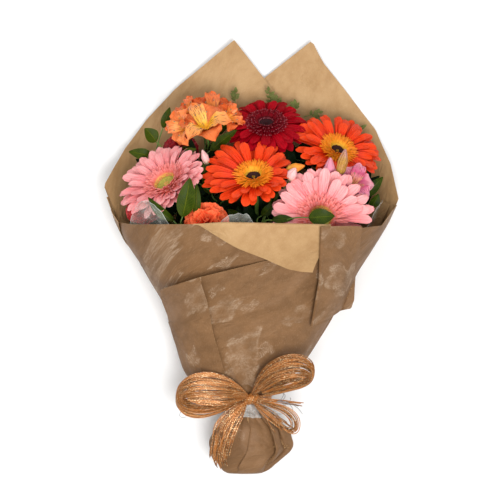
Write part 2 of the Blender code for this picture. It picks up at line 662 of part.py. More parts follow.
def gerbera(name, centre, tilt, heading, radius, cup, lean, rng):
    """One gerbera: its stem with the green cup, two layers of rays, the short florets and the eye."""
    frame = head_matrix(centre, tilt, heading)
    normal = frame.to_3x3() @ Vector((0, 0, 1))

    hub = turned("hub", ((0, -0.0026), (0.0110, -0.0026), (0.0110, -0.0066), (0, -0.0066)), 14)
    wide = math.pi * 0.80 * radius / OUTER_RAYS * 0.90
    petals = rays(frame, OUTER_RAYS, 0.0075, radius, -0.0054, cup, lean, wide, rng)
    petals += rays(frame, INNER_RAYS, 0.0075, radius * 0.80, -0.0038, cup + 12, lean, wide * 0.95, rng, 0.5, False)
    flower = fused(name + "_rays", hub, petals, material(name, GERBERA_COLOURS[name], 0.5))

    core = turned("core", ((0, 0.0002), (0.0078, 0.0002), (0.0098, 0.0034), (0.0128, 0.0026), (0.0100, -0.0022), (0, -0.0022)), 12)
    short = rays(frame, SHORT_FLORETS, 0.0095, 0.0200, 0.0010, cup + 16, lean, 0.0034, rng, fine=False)
    florets = fused(name + "_florets", core, short, material(name + "_florets", FLORET_COLOURS[name], 0.6))

    eye = turned(name + "_eye", ((0, 0.0030), (0.0040, 0.0026), (0.0066, 0.0012), (0.0070, 0.0005), (0, 0.0005)), 8)
    eye_colour = (0.45, 0.42, 0.08) if "pink" in name else (0.05, 0.01, 0.01)
    eye.data.materials.append(material(name + "_eye", eye_colour, 0.8))
    raised = Matrix.Translation((0, 0, -0.0001 + 0.0045 * math.tan(math.radians(max(cup + abs(lean), 0)))))
    flower.data.transform(frame)
    for part in (florets, eye):
        part.data.transform(frame @ raised)

    cup_solid = turned("cup", ((0, -0.0070), (0.0100, -0.0070), (0.0085, -0.0130), (0.0040, -0.0200), (0, -0.0230)), 8)
    cup_solid.data.transform(frame)
    top = Vector(centre) - normal * 0.0190
    stalk = tube("stalk", stem_points(name, top, normal, 4), STEM_RADIUS)
    fused(name + "_stem", cup_solid, [stalk], material("stem_green", (0.20, 0.32, 0.08), 0.6))


def clear_of_front(point):
    """Whether a point keeps clear of the paper's front: inside it, above its edge or beyond it."""
    x, y, z = point
    if y > edge_y(FRONT_EDGE, x) + 0.004:
        return True
    left, right = section(y)[:2]
    if not left < x < right:
        return True
    surface = wrap_point(front_angle(x, y, 0.0), y, 0.0)[2]
    return z < surface - 0.0085 or z > surface + 0.0165


def leaf(inner, base, tip, half, facing):
    """A leaf on its stalklet: a narrow strip from the stem at inner to base, and the blade from there to tip."""
    inner, base, tip, facing = map(Vector, (inner, base, tip, facing))
    along = tip - base
    bend = base - along.normalized() * 0.35 * (base - inner).length
    arch = facing.normalized() * 0.08 * along.length
    line = (
        (inner, 0.0008), (bend, 0.0010), (base, 0.0014), (base + along * 0.32 + arch, 0.92 * half),
        (base + along * 0.66 + arch, 0.88 * half), (tip, 0.06 * half),
    )
    sides = []
    for k in range(len(line)):
        tangent = line[min(k + 1, len(line) - 1)][0] - line[max(k - 1, 0)][0]
        sides.append(facing.cross(tangent).normalized())

    def point(u, v):
        k = round(v * (len(line) - 1))
        return line[k][0] + sides[k] * (2 * u - 1) * line[k][1]

    obj = thickened(to_object("leaf", surface_grid(1, len(line) - 1, point)), BLADE)
    obj.data = evaluated_mesh(obj)
    obj.modifiers.clear()
    return obj


def greens(name, top, direction, leaves, radius, colour, blooms=()):
    """A leafy stem: its stalk, the leaves that leave it near its top, and a stalklet to each bloom's foot."""
    line = stem_points(name, top, direction, 4)
    stalk = tube("stalk", line, radius, 4)
    down = (line[-2] - line[-1]).normalized()
    pieces = []
    for count, (base, tip, half, facing) in enumerate(leaves):
        inner = line[-1] + down * (0.0030 + 0.0017 * count)
        pieces.append(leaf(inner, base, tip, half, facing))
    for count, bloom in enumerate(blooms):
        foot, normal = bloom_foot(bloom)
        inner = line[-1] + down * (0.0021 + 0.0023 * count)
        bend = foot - normal * 0.35 * (foot - Vector(top)).length
        pieces.append(tube("stalklet", [inner, bend, foot], 0.0009, 4))
    surface = material("leaf_green" if colour == GREEN else "leaf_dark_green", colour, 0.5)
    return fused(name, stalk, pieces, surface, "MANIFOLD")


def bloom_foot(name):
    """Where the stalklet of a floret or a bud ends, just short of it, and the direction it ends in."""
    if name in FLORETS:
        centre, tilt, heading = FLORETS[name][:3]
        normal = head_matrix(centre, tilt, heading).to_3x3() @ Vector((0, 0, 1))
        return Vector(centre) - normal * 0.0043, normal
    base, tip = map(Vector, BUDS[name][:2])
    normal = (tip - base).normalized()
    return base - normal * 0.0003, normal


def floret(name, centre, tilt, heading, size, openness, turn, surface, petals=6):
    """An alstroemeria floret: a short throat, three broad outer petals and three narrow inner ones."""
    frame = head_matrix(centre, tilt, heading)
    base = turned("throat", ((0, -0.0040), (0.0024, -0.0030), (0.0034, 0.0010), (0, 0.0024)), 6)
    pieces = []
    for i in range(petals):
        broad = i % 2 == 0
        around = 2 * math.pi * i / petals + turn
        wide = (0.30 if broad else 0.19) * size
        out = size * (1.0 if broad else 0.92)
        rise = size * (0.62 if broad else 0.74) * (1 - openness)
        middle = ((0.34 * out, 0.46 * wide, 0.62 * rise), (0.74 * out, wide, rise))
        rows = ((0.0004, 0.0018, -0.0010), *(middle if broad else middle[1:]), (out, 0.16 * wide, rise * 0.90))
        spin = Matrix.Rotation(around, 4, "Z") @ Matrix.Translation((0, 0, 0.0 if broad else 0.0012))
        pieces.append(blade("petal", rows, BLADE, spin))
    flower = fused(name, base, pieces, surface)
    flower.data.transform(frame)
    return flower


def bud(name, base, tip, radius, surface):
    """A closed bud, pointed at both ends."""
    length = (Vector(tip) - Vector(base)).length
    profile = ((0, length), (0.35 * radius, 0.86 * length), (0.95 * radius, 0.52 * length), (0.72 * radius, 0.20 * length), (0, 0))
    obj = turned(name, profile, 8)
    obj.data.transform(axis_matrix(base, Vector(tip) - Vector(base)))
    obj.data.materials.append(surface)
    return obj


def carnation(name, centre, tilt, heading, size, colour, rng):
    """A full bloom of broad folded petals on a green cup, with its stem."""
    frame = head_matrix(centre, tilt, heading)
    hub = turned("hub", ((0, 0.0050), (0.0050, 0.0040), (0.0060, -0.0050), (0, -0.0060)), 10)
    pieces = []
    for ring_of, count, lift, share in ((0, 6, 14, 1.0), (1, 4, 40, 0.86), (2, 2, 66, 0.66)):
        for i in range(count):
            around = 2 * math.pi * (i + 0.5 * ring_of + rng.uniform(-0.1, 0.1)) / count
            up = math.radians(lift + rng.uniform(-5, 5))
            out = size * share
            wide = 0.46 * out if ring_of < 2 else 0.38 * out
            rows = [
                (0.002 + t * out * math.cos(up), wide * w, t * out * math.sin(up) + 0.0012 * ring_of)
                for t, w in ((0.0, 0.20), (0.85, 1.0), (1.0, 0.70))
            ]
            pieces.append(blade("petal", rows, BLADE, Matrix.Rotation(around, 4, "Z")))
    flower = fused(name + "_petals", hub, pieces, material(name, colour, 0.6))
    flower.data.transform(frame)
    normal = frame.to_3x3() @ Vector((0, 0, 1))
    cup = turned("cup", ((0, -0.0064), (0.0056, -0.0056), (0.0060, -0.0150), (0.0030, -0.0210), (0, -0.0230)), 8)
    cup.data.transform(frame)
    stalk = tube("stalk", stem_points(name, Vector(centre) - normal * 0.019, normal, 4), 0.0019)
    fused(name + "_stem", cup, [stalk], material("stem_green", (0.20, 0.32, 0.08), 0.6))


UP = (0.0, 0.3, 1.0)

# Leafy stems: top, direction there, colour, and the leaves as base, tip, half width and facing
LEAFY = {
    "foliage_left": ((-0.108, 0.082, 0.040), (-0.4, 0.8, 0.4), GREEN, (
        ((-0.104, 0.115, 0.046), (-0.098, 0.137, 0.050), 0.0062, UP),
        ((-0.106, 0.099, 0.052), (-0.119, 0.114, 0.056), 0.0085, UP),
        ((-0.112, 0.084, 0.048), (-0.137, 0.094, 0.050), 0.0085, (0, 0.1, 1)),
    )),
    "foliage_deep_left": ((-0.064, 0.060, 0.066), (0.0, 0.5, 0.8), DARK_GREEN, (
        ((-0.0740, 0.0830, 0.076), (-0.0590, 0.0930, 0.082), 0.0055, UP),
        ((-0.0530, 0.0500, 0.076), (-0.0520, 0.0700, 0.079), 0.0076, (0.2, -0.1, 1)),
    )),
    "foliage_front_left": ((-0.063, 0.006, 0.108), (-0.1, 0.3, 0.9), GREEN, (
        ((-0.0725, 0.0120, 0.1270), (-0.0785, 0.0550, 0.1380), 0.0115, (-0.1, -0.2, 1)),
        ((-0.0590, 0.0110, 0.1240), (-0.0570, 0.0450, 0.1310), 0.0058, (0.2, -0.2, 1)),
    )),
    "foliage_middle": ((-0.0330, 0.0300, 0.050), (0.0, 0.6, 0.7), DARK_GREEN, (
        ((-0.0430, 0.0400, 0.058), (-0.0520, 0.0620, 0.060), 0.0085, UP),
        ((-0.0290, 0.0330, 0.060), (-0.0100, 0.0480, 0.064), 0.0080, UP),
        ((-0.0320, 0.0220, 0.064), (-0.0150, 0.0120, 0.074), 0.0085, (0, 0, 1)),
    )),
    "foliage_front_right": ((0.0160, 0.0020, 0.1180), (0.2, 0.3, 0.9), GREEN, (
        ((0.0600, 0.0130, 0.1350), (0.0880, 0.0090, 0.1390), 0.0095, (0, 0.2, 1)),
        ((0.0180, 0.0090, 0.1290), (0.0390, 0.0130, 0.1310), 0.0052, (0, 0.2, 1)),
    )),
    "foliage_deep_right": ((0.0440, 0.0500, 0.040), (0.1, 0.7, 0.6), DARK_GREEN, (
        ((0.0470, 0.0710, 0.050), (0.0420, 0.0960, 0.050), 0.0080, UP),
        ((0.0330, 0.0480, 0.054), (0.0250, 0.0260, 0.062), 0.0080, (0, 0, 1)),
    )),
    "foliage_right": ((0.1260, 0.0200, 0.048), (0.3, 0.6, 0.7), DARK_GREEN, (
        ((0.1360, 0.0380, 0.060), (0.1460, 0.0570, 0.064), 0.0078, (0.2, 0, 1)),
        ((0.1230, 0.0400, 0.060), (0.1270, 0.0580, 0.062), 0.0085, (0, 0, 1)),
        ((0.1370, 0.0270, 0.058), (0.1500, 0.0400, 0.062), 0.0060, (0.3, 0, 1)),
    )),
    "sprig_back": ((0.0180, 0.1280, 0.0120), (0.0, 1.0, 0.05), GREEN, (
        ((-0.0171, 0.1500, 0.0135), (-0.0182, 0.1610, 0.0160), 0.0036, UP),
        ((0.0136, 0.1480, 0.0130), (0.0182, 0.1620, 0.0160), 0.0040, UP),
        ((0.0284, 0.1450, 0.0130), (0.0345, 0.1600, 0.0160), 0.0040, UP),
        ((0.0410, 0.1440, 0.0130), (0.0454, 0.1550, 0.0155), 0.0034, UP),
        ((0.0640, 0.1300, 0.0115), (0.0680, 0.1400, 0.0135), 0.0030, UP),
    )),
}

# Alstroemeria florets: centre, tilt, heading, size, openness and turn. Buds: base, tip and radius
FLORETS = {
    "alstroemeria_orange_floret_1": ((-0.0503, 0.1190, 0.0700), 24, 100, 0.0265, 0.10, 0.0),
    "alstroemeria_orange_floret_2": ((-0.0440, 0.1390, 0.0380), 52, 84, 0.0215, 0.15, 0.5),
    "alstroemeria_orange_floret_3": ((-0.0770, 0.1130, 0.0600), 50, 165, 0.0220, 0.0, 0.3),
    "alstroemeria_pink_floret": ((0.1165, 0.0485, 0.0885), 20, 70, 0.0190, 0.05, 0.0),
}
BUDS = {
    "alstroemeria_orange_bud": ((-0.0475, 0.0720, 0.0870), (-0.0530, 0.0880, 0.0920), 0.0038),
    "alstroemeria_pink_bud": ((0.0930, 0.0560, 0.0960), (0.0990, 0.0790, 0.1010), 0.0060),
    "alstroemeria_small_bud": ((0.0450, 0.0480, 0.0900), (0.0500, 0.0660, 0.0960), 0.0058),
}
BLOOM_COLOURS = {
    "alstroemeria_orange_floret": (0.85, 0.32, 0.08),
    "alstroemeria_pink_floret": (0.72, 0.22, 0.36),
    "alstroemeria_pink_bud": (0.72, 0.22, 0.36),
    "alstroemeria_orange_bud": (0.85, 0.55, 0.50),
    "alstroemeria_small_bud": (0.85, 0.55, 0.50),
}
ALSTROEMERIAS = {
    "alstroemeria_orange": ((-0.050, 0.098, 0.032), (0.0, 0.7, 0.6), (
        ((-0.0400, 0.0960, 0.042), (-0.0190, 0.1020, 0.050), 0.0066, UP),
        ((-0.0380, 0.1030, 0.038), (-0.0180, 0.1160, 0.042), 0.0052, UP),
    )),
    "alstroemeria_pink": ((0.1060, 0.0330, 0.060), (0.1, 0.5, 0.8), (
        ((0.1000, 0.0400, 0.0720), (0.0840, 0.0540, 0.0770), 0.0050, UP),
    )),
    "alstroemeria_small": ((0.0420, 0.0360, 0.066), (0.0, 0.4, 0.9), (
        ((0.0380, 0.0430, 0.0790), (0.0330, 0.0560, 0.0830), 0.0042, UP),
    )),
}


def alstroemerias():
    """The orange, pink and pale alstroemerias: florets and buds on stalklets from the top of each stem."""
    surfaces = {key: material(key, colour, 0.5) for key, colour in BLOOM_COLOURS.items()}
    for name, values in FLORETS.items():
        floret(name, *values, surfaces[name.rstrip("_123")])
    for name, values in BUDS.items():
        bud(name, *values, surfaces[name])
    for name, (top, direction, leaves) in ALSTROEMERIAS.items():
        blooms = [bloom for bloom in (*FLORETS, *BUDS) if bloom.startswith(name)]
        greens(name, top, direction, leaves, 0.0021, GREEN, blooms)


def main():
    clear_scene()
    inner_sheet()
    outer_sheet()
    front_band()
    cellophane()
    neck_tape()
    ribbon_bow()
    rng = random.Random(5)
    for name, values in GERBERAS.items():
        gerbera(name, *values, rng)
    alstroemerias()
    carnation("carnation_orange", (-0.0380, 0.0160, 0.1060), 6, 90, 0.0240, (0.80, 0.08, 0.02), rng)
    carnation("carnation_red_front", (-0.1190, 0.0240, 0.0680), 16, 110, 0.0190, (0.55, 0.01, 0.02), rng)
    carnation("carnation_red_back", (-0.0775, 0.0880, 0.0400), 20, 100, 0.0200, (0.30, 0.0, 0.02), rng)
    for name, (top, direction, colour, leaves) in LEAFY.items():
        greens(name, top, direction, leaves, 0.0021, colour)
    binding = material("rubber_band", (0.35, 0.22, 0.10), 0.7)
    ring("stem_binding", (0.0, -0.1780, 0.0310), 0.0208, 0.0172, 0.0030, 0.0010, binding)


main()
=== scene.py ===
"""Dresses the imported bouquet: printed kraft paper, clear film, a bow of copper strands, flowers and leaves.

The bouquet lies on its back. +Y points from the paper pouch to the flowers and +Z up from the floor.
Each class holds the sizes of one part of the bouquet and builds its finished pieces.
"""

from __future__ import annotations

import itertools
import logging
from dataclasses import dataclass, field
from enum import Enum
from typing import Callable, Sequence

import bpy
import numpy as np
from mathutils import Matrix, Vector

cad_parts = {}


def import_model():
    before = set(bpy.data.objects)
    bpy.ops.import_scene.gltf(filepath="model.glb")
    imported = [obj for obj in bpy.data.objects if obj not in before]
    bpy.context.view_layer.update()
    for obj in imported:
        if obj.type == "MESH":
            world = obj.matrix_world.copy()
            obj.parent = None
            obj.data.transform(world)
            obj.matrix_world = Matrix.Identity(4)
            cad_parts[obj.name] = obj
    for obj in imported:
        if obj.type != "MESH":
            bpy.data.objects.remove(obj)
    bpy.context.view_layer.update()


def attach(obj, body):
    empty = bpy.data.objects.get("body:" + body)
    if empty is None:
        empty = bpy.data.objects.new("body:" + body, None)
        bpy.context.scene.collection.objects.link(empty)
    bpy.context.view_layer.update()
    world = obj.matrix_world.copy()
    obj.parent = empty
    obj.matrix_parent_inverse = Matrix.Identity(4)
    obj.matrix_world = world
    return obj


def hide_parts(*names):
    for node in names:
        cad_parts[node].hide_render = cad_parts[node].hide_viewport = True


LOG = logging.getLogger("bouquet")
FULL_TURN = 6.283
GOLDEN_ANGLE = 2.39996
HEAD_DEPTH = 0.019
SENSOR_WIDTH = 36.0
SHARP = 0.9
LONG_PETAL_WALL = 0.0005
PETAL_WALL = 0.00045
BUD_WALL = 0.0003
LEAF_WALL = 0.0004
Array = np.ndarray
Reading = Callable[[Array], Array]
Random = np.random.Generator
Point = tuple[float, float, float]
Colour = tuple[float, float, float]
EdgeLine = Sequence[tuple[float, float]]
Socket = bpy.types.NodeSocket
Material = bpy.types.Material

# The way most leaves face, and ways that no stem and no small stalk runs along
UP = (0.0, 0.3, 1.0)
STEM_SIDE = (0.13, 0.05, 0.99)
STALK_SIDE = (0.4, -0.85, 0.3)

# The wrap's sections: y, left edge, right edge, lowest z, crease z, highest z, flatness of the back
SECTIONS = np.array(
    (
        (-0.277, -0.026, 0.013, 0.01, 0.024, 0.037, 0.0),
        (-0.274, -0.032, 0.02, 0.007, 0.024, 0.041, 0.0),
        (-0.264, -0.0395, 0.031, 0.0036, 0.024, 0.047, 0.0),
        (-0.245, -0.0455, 0.046, 0.0018, 0.024, 0.052, 0.0),
        (-0.227, -0.0375, 0.041, 0.004, 0.026, 0.052, 0.0),
        (-0.213, -0.024, 0.022, 0.012, 0.029, 0.046, 0.0),
        (-0.203, -0.0152, 0.0148, 0.017, 0.03, 0.043, 0.0),
        (-0.193, -0.0152, 0.0148, 0.017, 0.03, 0.043, 0.0),
        (-0.183, -0.034, 0.026, 0.012, 0.03, 0.05, 0.1),
        (-0.164, -0.07, 0.0475, 0.0056, 0.029, 0.066, 0.4),
        (-0.13, -0.08, 0.0715, 0.0031, 0.03, 0.086, 0.9),
        (-0.096, -0.0915, 0.0915, 0.0031, 0.034, 0.103, 1.0),
        (-0.052, -0.1155, 0.111, 0.0031, 0.042, 0.127, 1.0),
        (-0.008, -0.141, 0.14, 0.0031, 0.05, 0.152, 1.0),
        (0.038, -0.16, 0.1625, 0.0031, 0.055, 0.166, 1.0),
        (0.09, -0.185, 0.189, 0.0031, 0.056, 0.17, 1.0),
        (0.218, -0.255, 0.26, 0.0031, 0.056, 0.175, 1.0),
    )
)
TUBE_END = 0.35
NECK_Y = -0.198
HALVINGS = 34
FRONT_POWER = 0.8
FLAT_SHARE = 0.55
NECK_SHARE = 0.58
PAPER = 0.0004
LOWEST = 0.0004
POUCH_FOOT_Y = -0.2768
POUCH_Y = -0.245
POUCH_WIDTH = 0.0915
PEAK_START_Y = 0.1
PEAK_CURL = 0.0095

# How far each layer lies outside the inner sheet
FILM_LAYER = -0.0035
BAND_LAYER = 0.0028
COLLAR_LAYER = 0.0072
OUTER_BACK_LAYER = 0.0028
OUTER_FRONT_LAYER = 0.0104

# Cut edges seen from above, as x and y from left to right
INNER_BACK_EDGE = (
    (-0.165, 0.034), (-0.1635, 0.052), (-0.156, 0.068), (-0.143, 0.093), (-0.1185, 0.127), (-0.085, 0.1625),
    (-0.018, 0.2175), (0.016, 0.174), (0.104, 0.06), (0.172, 0.02),
)
OUTER_BACK_EDGE = (
    (-0.166, 0.034), (-0.104, 0.07), (0.016, 0.174), (0.071, 0.217), (0.083, 0.193), (0.109, 0.161),
    (0.144, 0.115), (0.16, 0.075), (0.168, 0.031),
)
FRONT_EDGE = (
    (-0.1615, 0.034), (-0.156, 0.022), (-0.147, 0.008), (-0.13, 0.005), (-0.06, 0.005), (0.075, 0.002),
    (0.122, 0.001), (0.146, 0.004), (0.158, 0.02), (0.166, 0.029), (0.172, 0.03),
)
COLLAR_EDGE = (
    (-0.058, 0.0061), (-0.047, -0.0009), (-0.0363, -0.0075), (-0.0254, -0.0143), (-0.0145, -0.0205),
    (0.002, -0.0268), (0.0182, -0.0322), (0.035, -0.0385), (0.051, -0.0438), (0.0686, -0.0468), (0.09, -0.048),
)
BAND_TOP_EDGE = (
    (-0.11, -0.072), (-0.095, -0.069), (-0.088, -0.0655), (-0.052, -0.053),
    (0.016, -0.035), (0.1, -0.02), (0.172, -0.005),
)

# Side edges of the layers on the front, as y and x from the neck up
STRIP_LEFT = ((-0.198, 0.006), (-0.113, 0.069), (-0.058, 0.078), (0.006, 0.079))
STRIP_RIGHT = (
    (-0.12, 0.09), (-0.1075, 0.0935), (-0.095, 0.101), (-0.0885, 0.114), (-0.0792, 0.1172), (-0.0441, 0.1185),
    (0.0, 0.1225), (0.006, 0.1228),
)
BAND_LEFT = ((-0.198, -0.2), (-0.1265, -0.12), (-0.104, -0.09), (-0.0827, -0.093), (-0.06, -0.092))
BAND_LAST_ANGLE = 97.0
BAND_FLARE = 0.0085
FLAP_LOWER_EDGE = ((43, -0.108), (56, -0.1045), (66, -0.0965), (80, -0.089), (97, -0.088))
STRIP_FOOT = ((0.0, -0.108), (0.45, -0.101), (0.8, -0.0915), (1.0, -0.089))
HEM_RIGHT = ((-0.198, -0.005), (-0.175, -0.0245), (-0.11, -0.0395), (-0.06, -0.048))


class Side(Enum):
    """Which face of the kraft paper a surface shows."""

    PRINTED = "printed"
    PLAIN = "plain"


def hermite(x: Array, xs: Array, values: Array) -> Array:
    """Monotone cubic curve through (xs, values), read at x.

    Each span blends its two ends and their slopes by the cubic Hermite weights. A slope is the weighted
    harmonic mean of the spans beside it, and zero where they turn round.

    Args:
        x: Where to read the curve.
        xs: Rising knots.
        values: Values at the knots.

    Returns:
        The curve's values, in x's shape.
    """
    steps = np.diff(xs)
    slopes = np.diff(values) / steps
    tangents = np.zeros(len(xs))
    tangents[0], tangents[-1] = slopes[0], slopes[-1]
    before, after = steps[1:] * 2 + steps[:-1], steps[1:] + steps[:-1] * 2
    with np.errstate(divide="ignore", invalid="ignore"):
        mean = (before + after) / (before / slopes[:-1] + after / slopes[1:])
    tangents[1:-1] = np.where(slopes[:-1] * slopes[1:] > 0, mean, 0.0)
    i = np.clip(np.searchsorted(xs, x) - 1, 0, len(steps) - 1)
    t = (x - xs[i]) / steps[i]
    ends = (1 + 2 * t) * (1 - t) ** 2 * values[i] + t * t * (3 - 2 * t) * values[i + 1]
    return ends + steps[i] * (t * (1 - t) ** 2 * tangents[i] + t * t * (t - 1) * tangents[i + 1])


def soft_noise(places: Array, cell: float, seed: int) -> Array:
    """Value noise from -1 to 1: random values on a cubic lattice, blended by 3t^2 - 2t^3 in each direction.

    Args:
        places: Points, with their coordinates in the last axis.
        cell: Lattice spacing in metres.
        seed: Picks the random values.

    Returns:
        One value for each point.
    """
    scaled = places / cell + 31.7 * seed
    base = np.floor(scaled).astype(np.int64)
    part = scaled - base
    blend = part * part * (3 - 2 * part)
    total = np.zeros(places.shape[:-1])
    for corner in itertools.product((0, 1), repeat=places.shape[-1]):
        key = np.zeros(places.shape[:-1], np.int64)
        weight = np.ones(places.shape[:-1])
        for axis, step in enumerate(corner):
            key ^= (base[..., axis] + step) * (73856093, 19349663, 83492791)[axis]
            weight = weight * (blend[..., axis] if step else 1 - blend[..., axis])
        key = ((key + seed * 7919) * 2654435761) & 0xFFFFFF
        key = ((key ^ (key >> 7)) * 40503) & 0xFFFFFF
        total += weight * (key / 0x7FFFFF - 1.0)
    return total


def ease(value: Array | float, low: float, high: float) -> Array:
    """Rises from 0 at low to 1 at high, by 3t^2 - 2t^3."""
    t = np.clip((np.asarray(value, float) - low) / (high - low), 0.0, 1.0)
    return t * t * (3 - 2 * t)


def read_edge(edge: EdgeLine, at: Array) -> Array:
    """Reads an edge's second coordinate over its first, in straight lines between its points."""
    return np.interp(at, [p[0] for p in edge], [p[1] for p in edge])


def unit(vectors: Array) -> Array:
    """Vectors scaled to length 1 along their last axis."""
    return vectors / np.maximum(np.linalg.norm(vectors, axis=-1, keepdims=True), 1e-12)


def smooth_path(points: Array, count: int) -> Array:
    """A Catmull-Rom curve through points, read at count even steps.

    Args:
        points: The points it passes, one a row, with any number of values each.
        count: How many rows to return.

    Returns:
        The curve's rows.
    """
    points = np.asarray(points, float)
    padded = np.vstack((2 * points[0] - points[1], points, 2 * points[-1] - points[-2]))
    at = np.linspace(0, len(points) - 1, count)
    i = np.minimum(at.astype(int), len(points) - 2)
    t = (at - i)[:, None]
    a, b, c, d = (padded[i + k] for k in range(4))
    return 0.5 * (2 * b + (c - a) * t + (2 * a - 5 * b + 4 * c - d) * t**2 + (3 * b - a - 3 * c + d) * t**3)


def grid_normals(grid: Array) -> Array:
    """Unit normals of surfaces: the cross product of the steps across and along.

    Args:
        grid: Points with axes (..., across, along, 3).

    Returns:
        Normals in the grid's shape.
    """
    return unit(np.cross(np.gradient(grid, axis=-3), np.gradient(grid, axis=-2)))


def walked(points: Array, axis: int) -> Array:
    """Length walked along rows of points, in their shape without the last axis."""
    steps = np.linalg.norm(np.diff(points, axis=axis), axis=-1)
    return np.cumsum(np.insert(steps, 0, 0.0, axis=axis), axis=axis)


def metric_uv(grid: Array) -> Array:
    """Texture places in metres: length walked across from the middle column, and along from the first row."""
    across = walked(grid, 0)
    return joined(across - across[grid.shape[0] // 2], walked(grid, 1))


def joined(*parts: Array) -> Array:
    """Coordinates brought to one shape and joined in a new last axis."""
    return np.stack(np.broadcast_arrays(*parts), axis=-1)


def blade_lines(across: int, along: int) -> tuple[Array, Array]:
    """Places across a blade from -1 to 1 and along it from 0 to 1, for axes (blade, across, along)."""
    return np.linspace(-1, 1, across)[None, :, None], np.linspace(0, 1, along)[None, None]


def blade_uv(across: int, along: int) -> Array:
    """Texture places of a blade, each coordinate from 0 to 1."""
    return joined(np.linspace(0, 1, across)[:, None], np.linspace(0, 1, along))


def swing(x: Array, y: Array, angle: Array | float) -> tuple[Array, Array]:
    """Two coordinates turned by an angle about their origin."""
    return x * np.cos(angle) - y * np.sin(angle), x * np.sin(angle) + y * np.cos(angle)


def beside(values: Array, y: Array) -> Array:
    """One value for each line, shaped to stand beside one y or a row of them for each line."""
    return values if y.ndim == 1 else values[:, None]


def meeting(below: Reading, count: int, highest: float = SECTIONS[-1, 0]) -> Array:
    """The y at which lines up the paper meet a cut edge, found by halving the stretch above the neck.

    Args:
        below: Tells for one y of each line whether it is still below the edge.
        count: How many lines.
        highest: A y above every meeting.

    Returns:
        One y for each line.
    """
    low, high = np.full(count, NECK_Y), np.full(count, highest)
    for _ in range(HALVINGS):
        middle = (low + high) / 2
        under = below(middle)
        low, high = np.where(under, middle, low), np.where(under, high, middle)
    return low


def fans(steps: int) -> tuple[Array, Array]:
    """Triangles that close a ring of corners numbered from 0, facing one way and the other.

    Args:
        steps: Corners of the ring.

    Returns:
        The corners of each triangle, the last one twice, for both ways.
    """
    fan = np.arange(1, steps - 1)
    zero = np.zeros_like(fan)
    return np.stack((zero, fan, fan + 1, fan + 1), axis=-1), np.stack((zero, fan + 1, fan, fan), axis=-1)


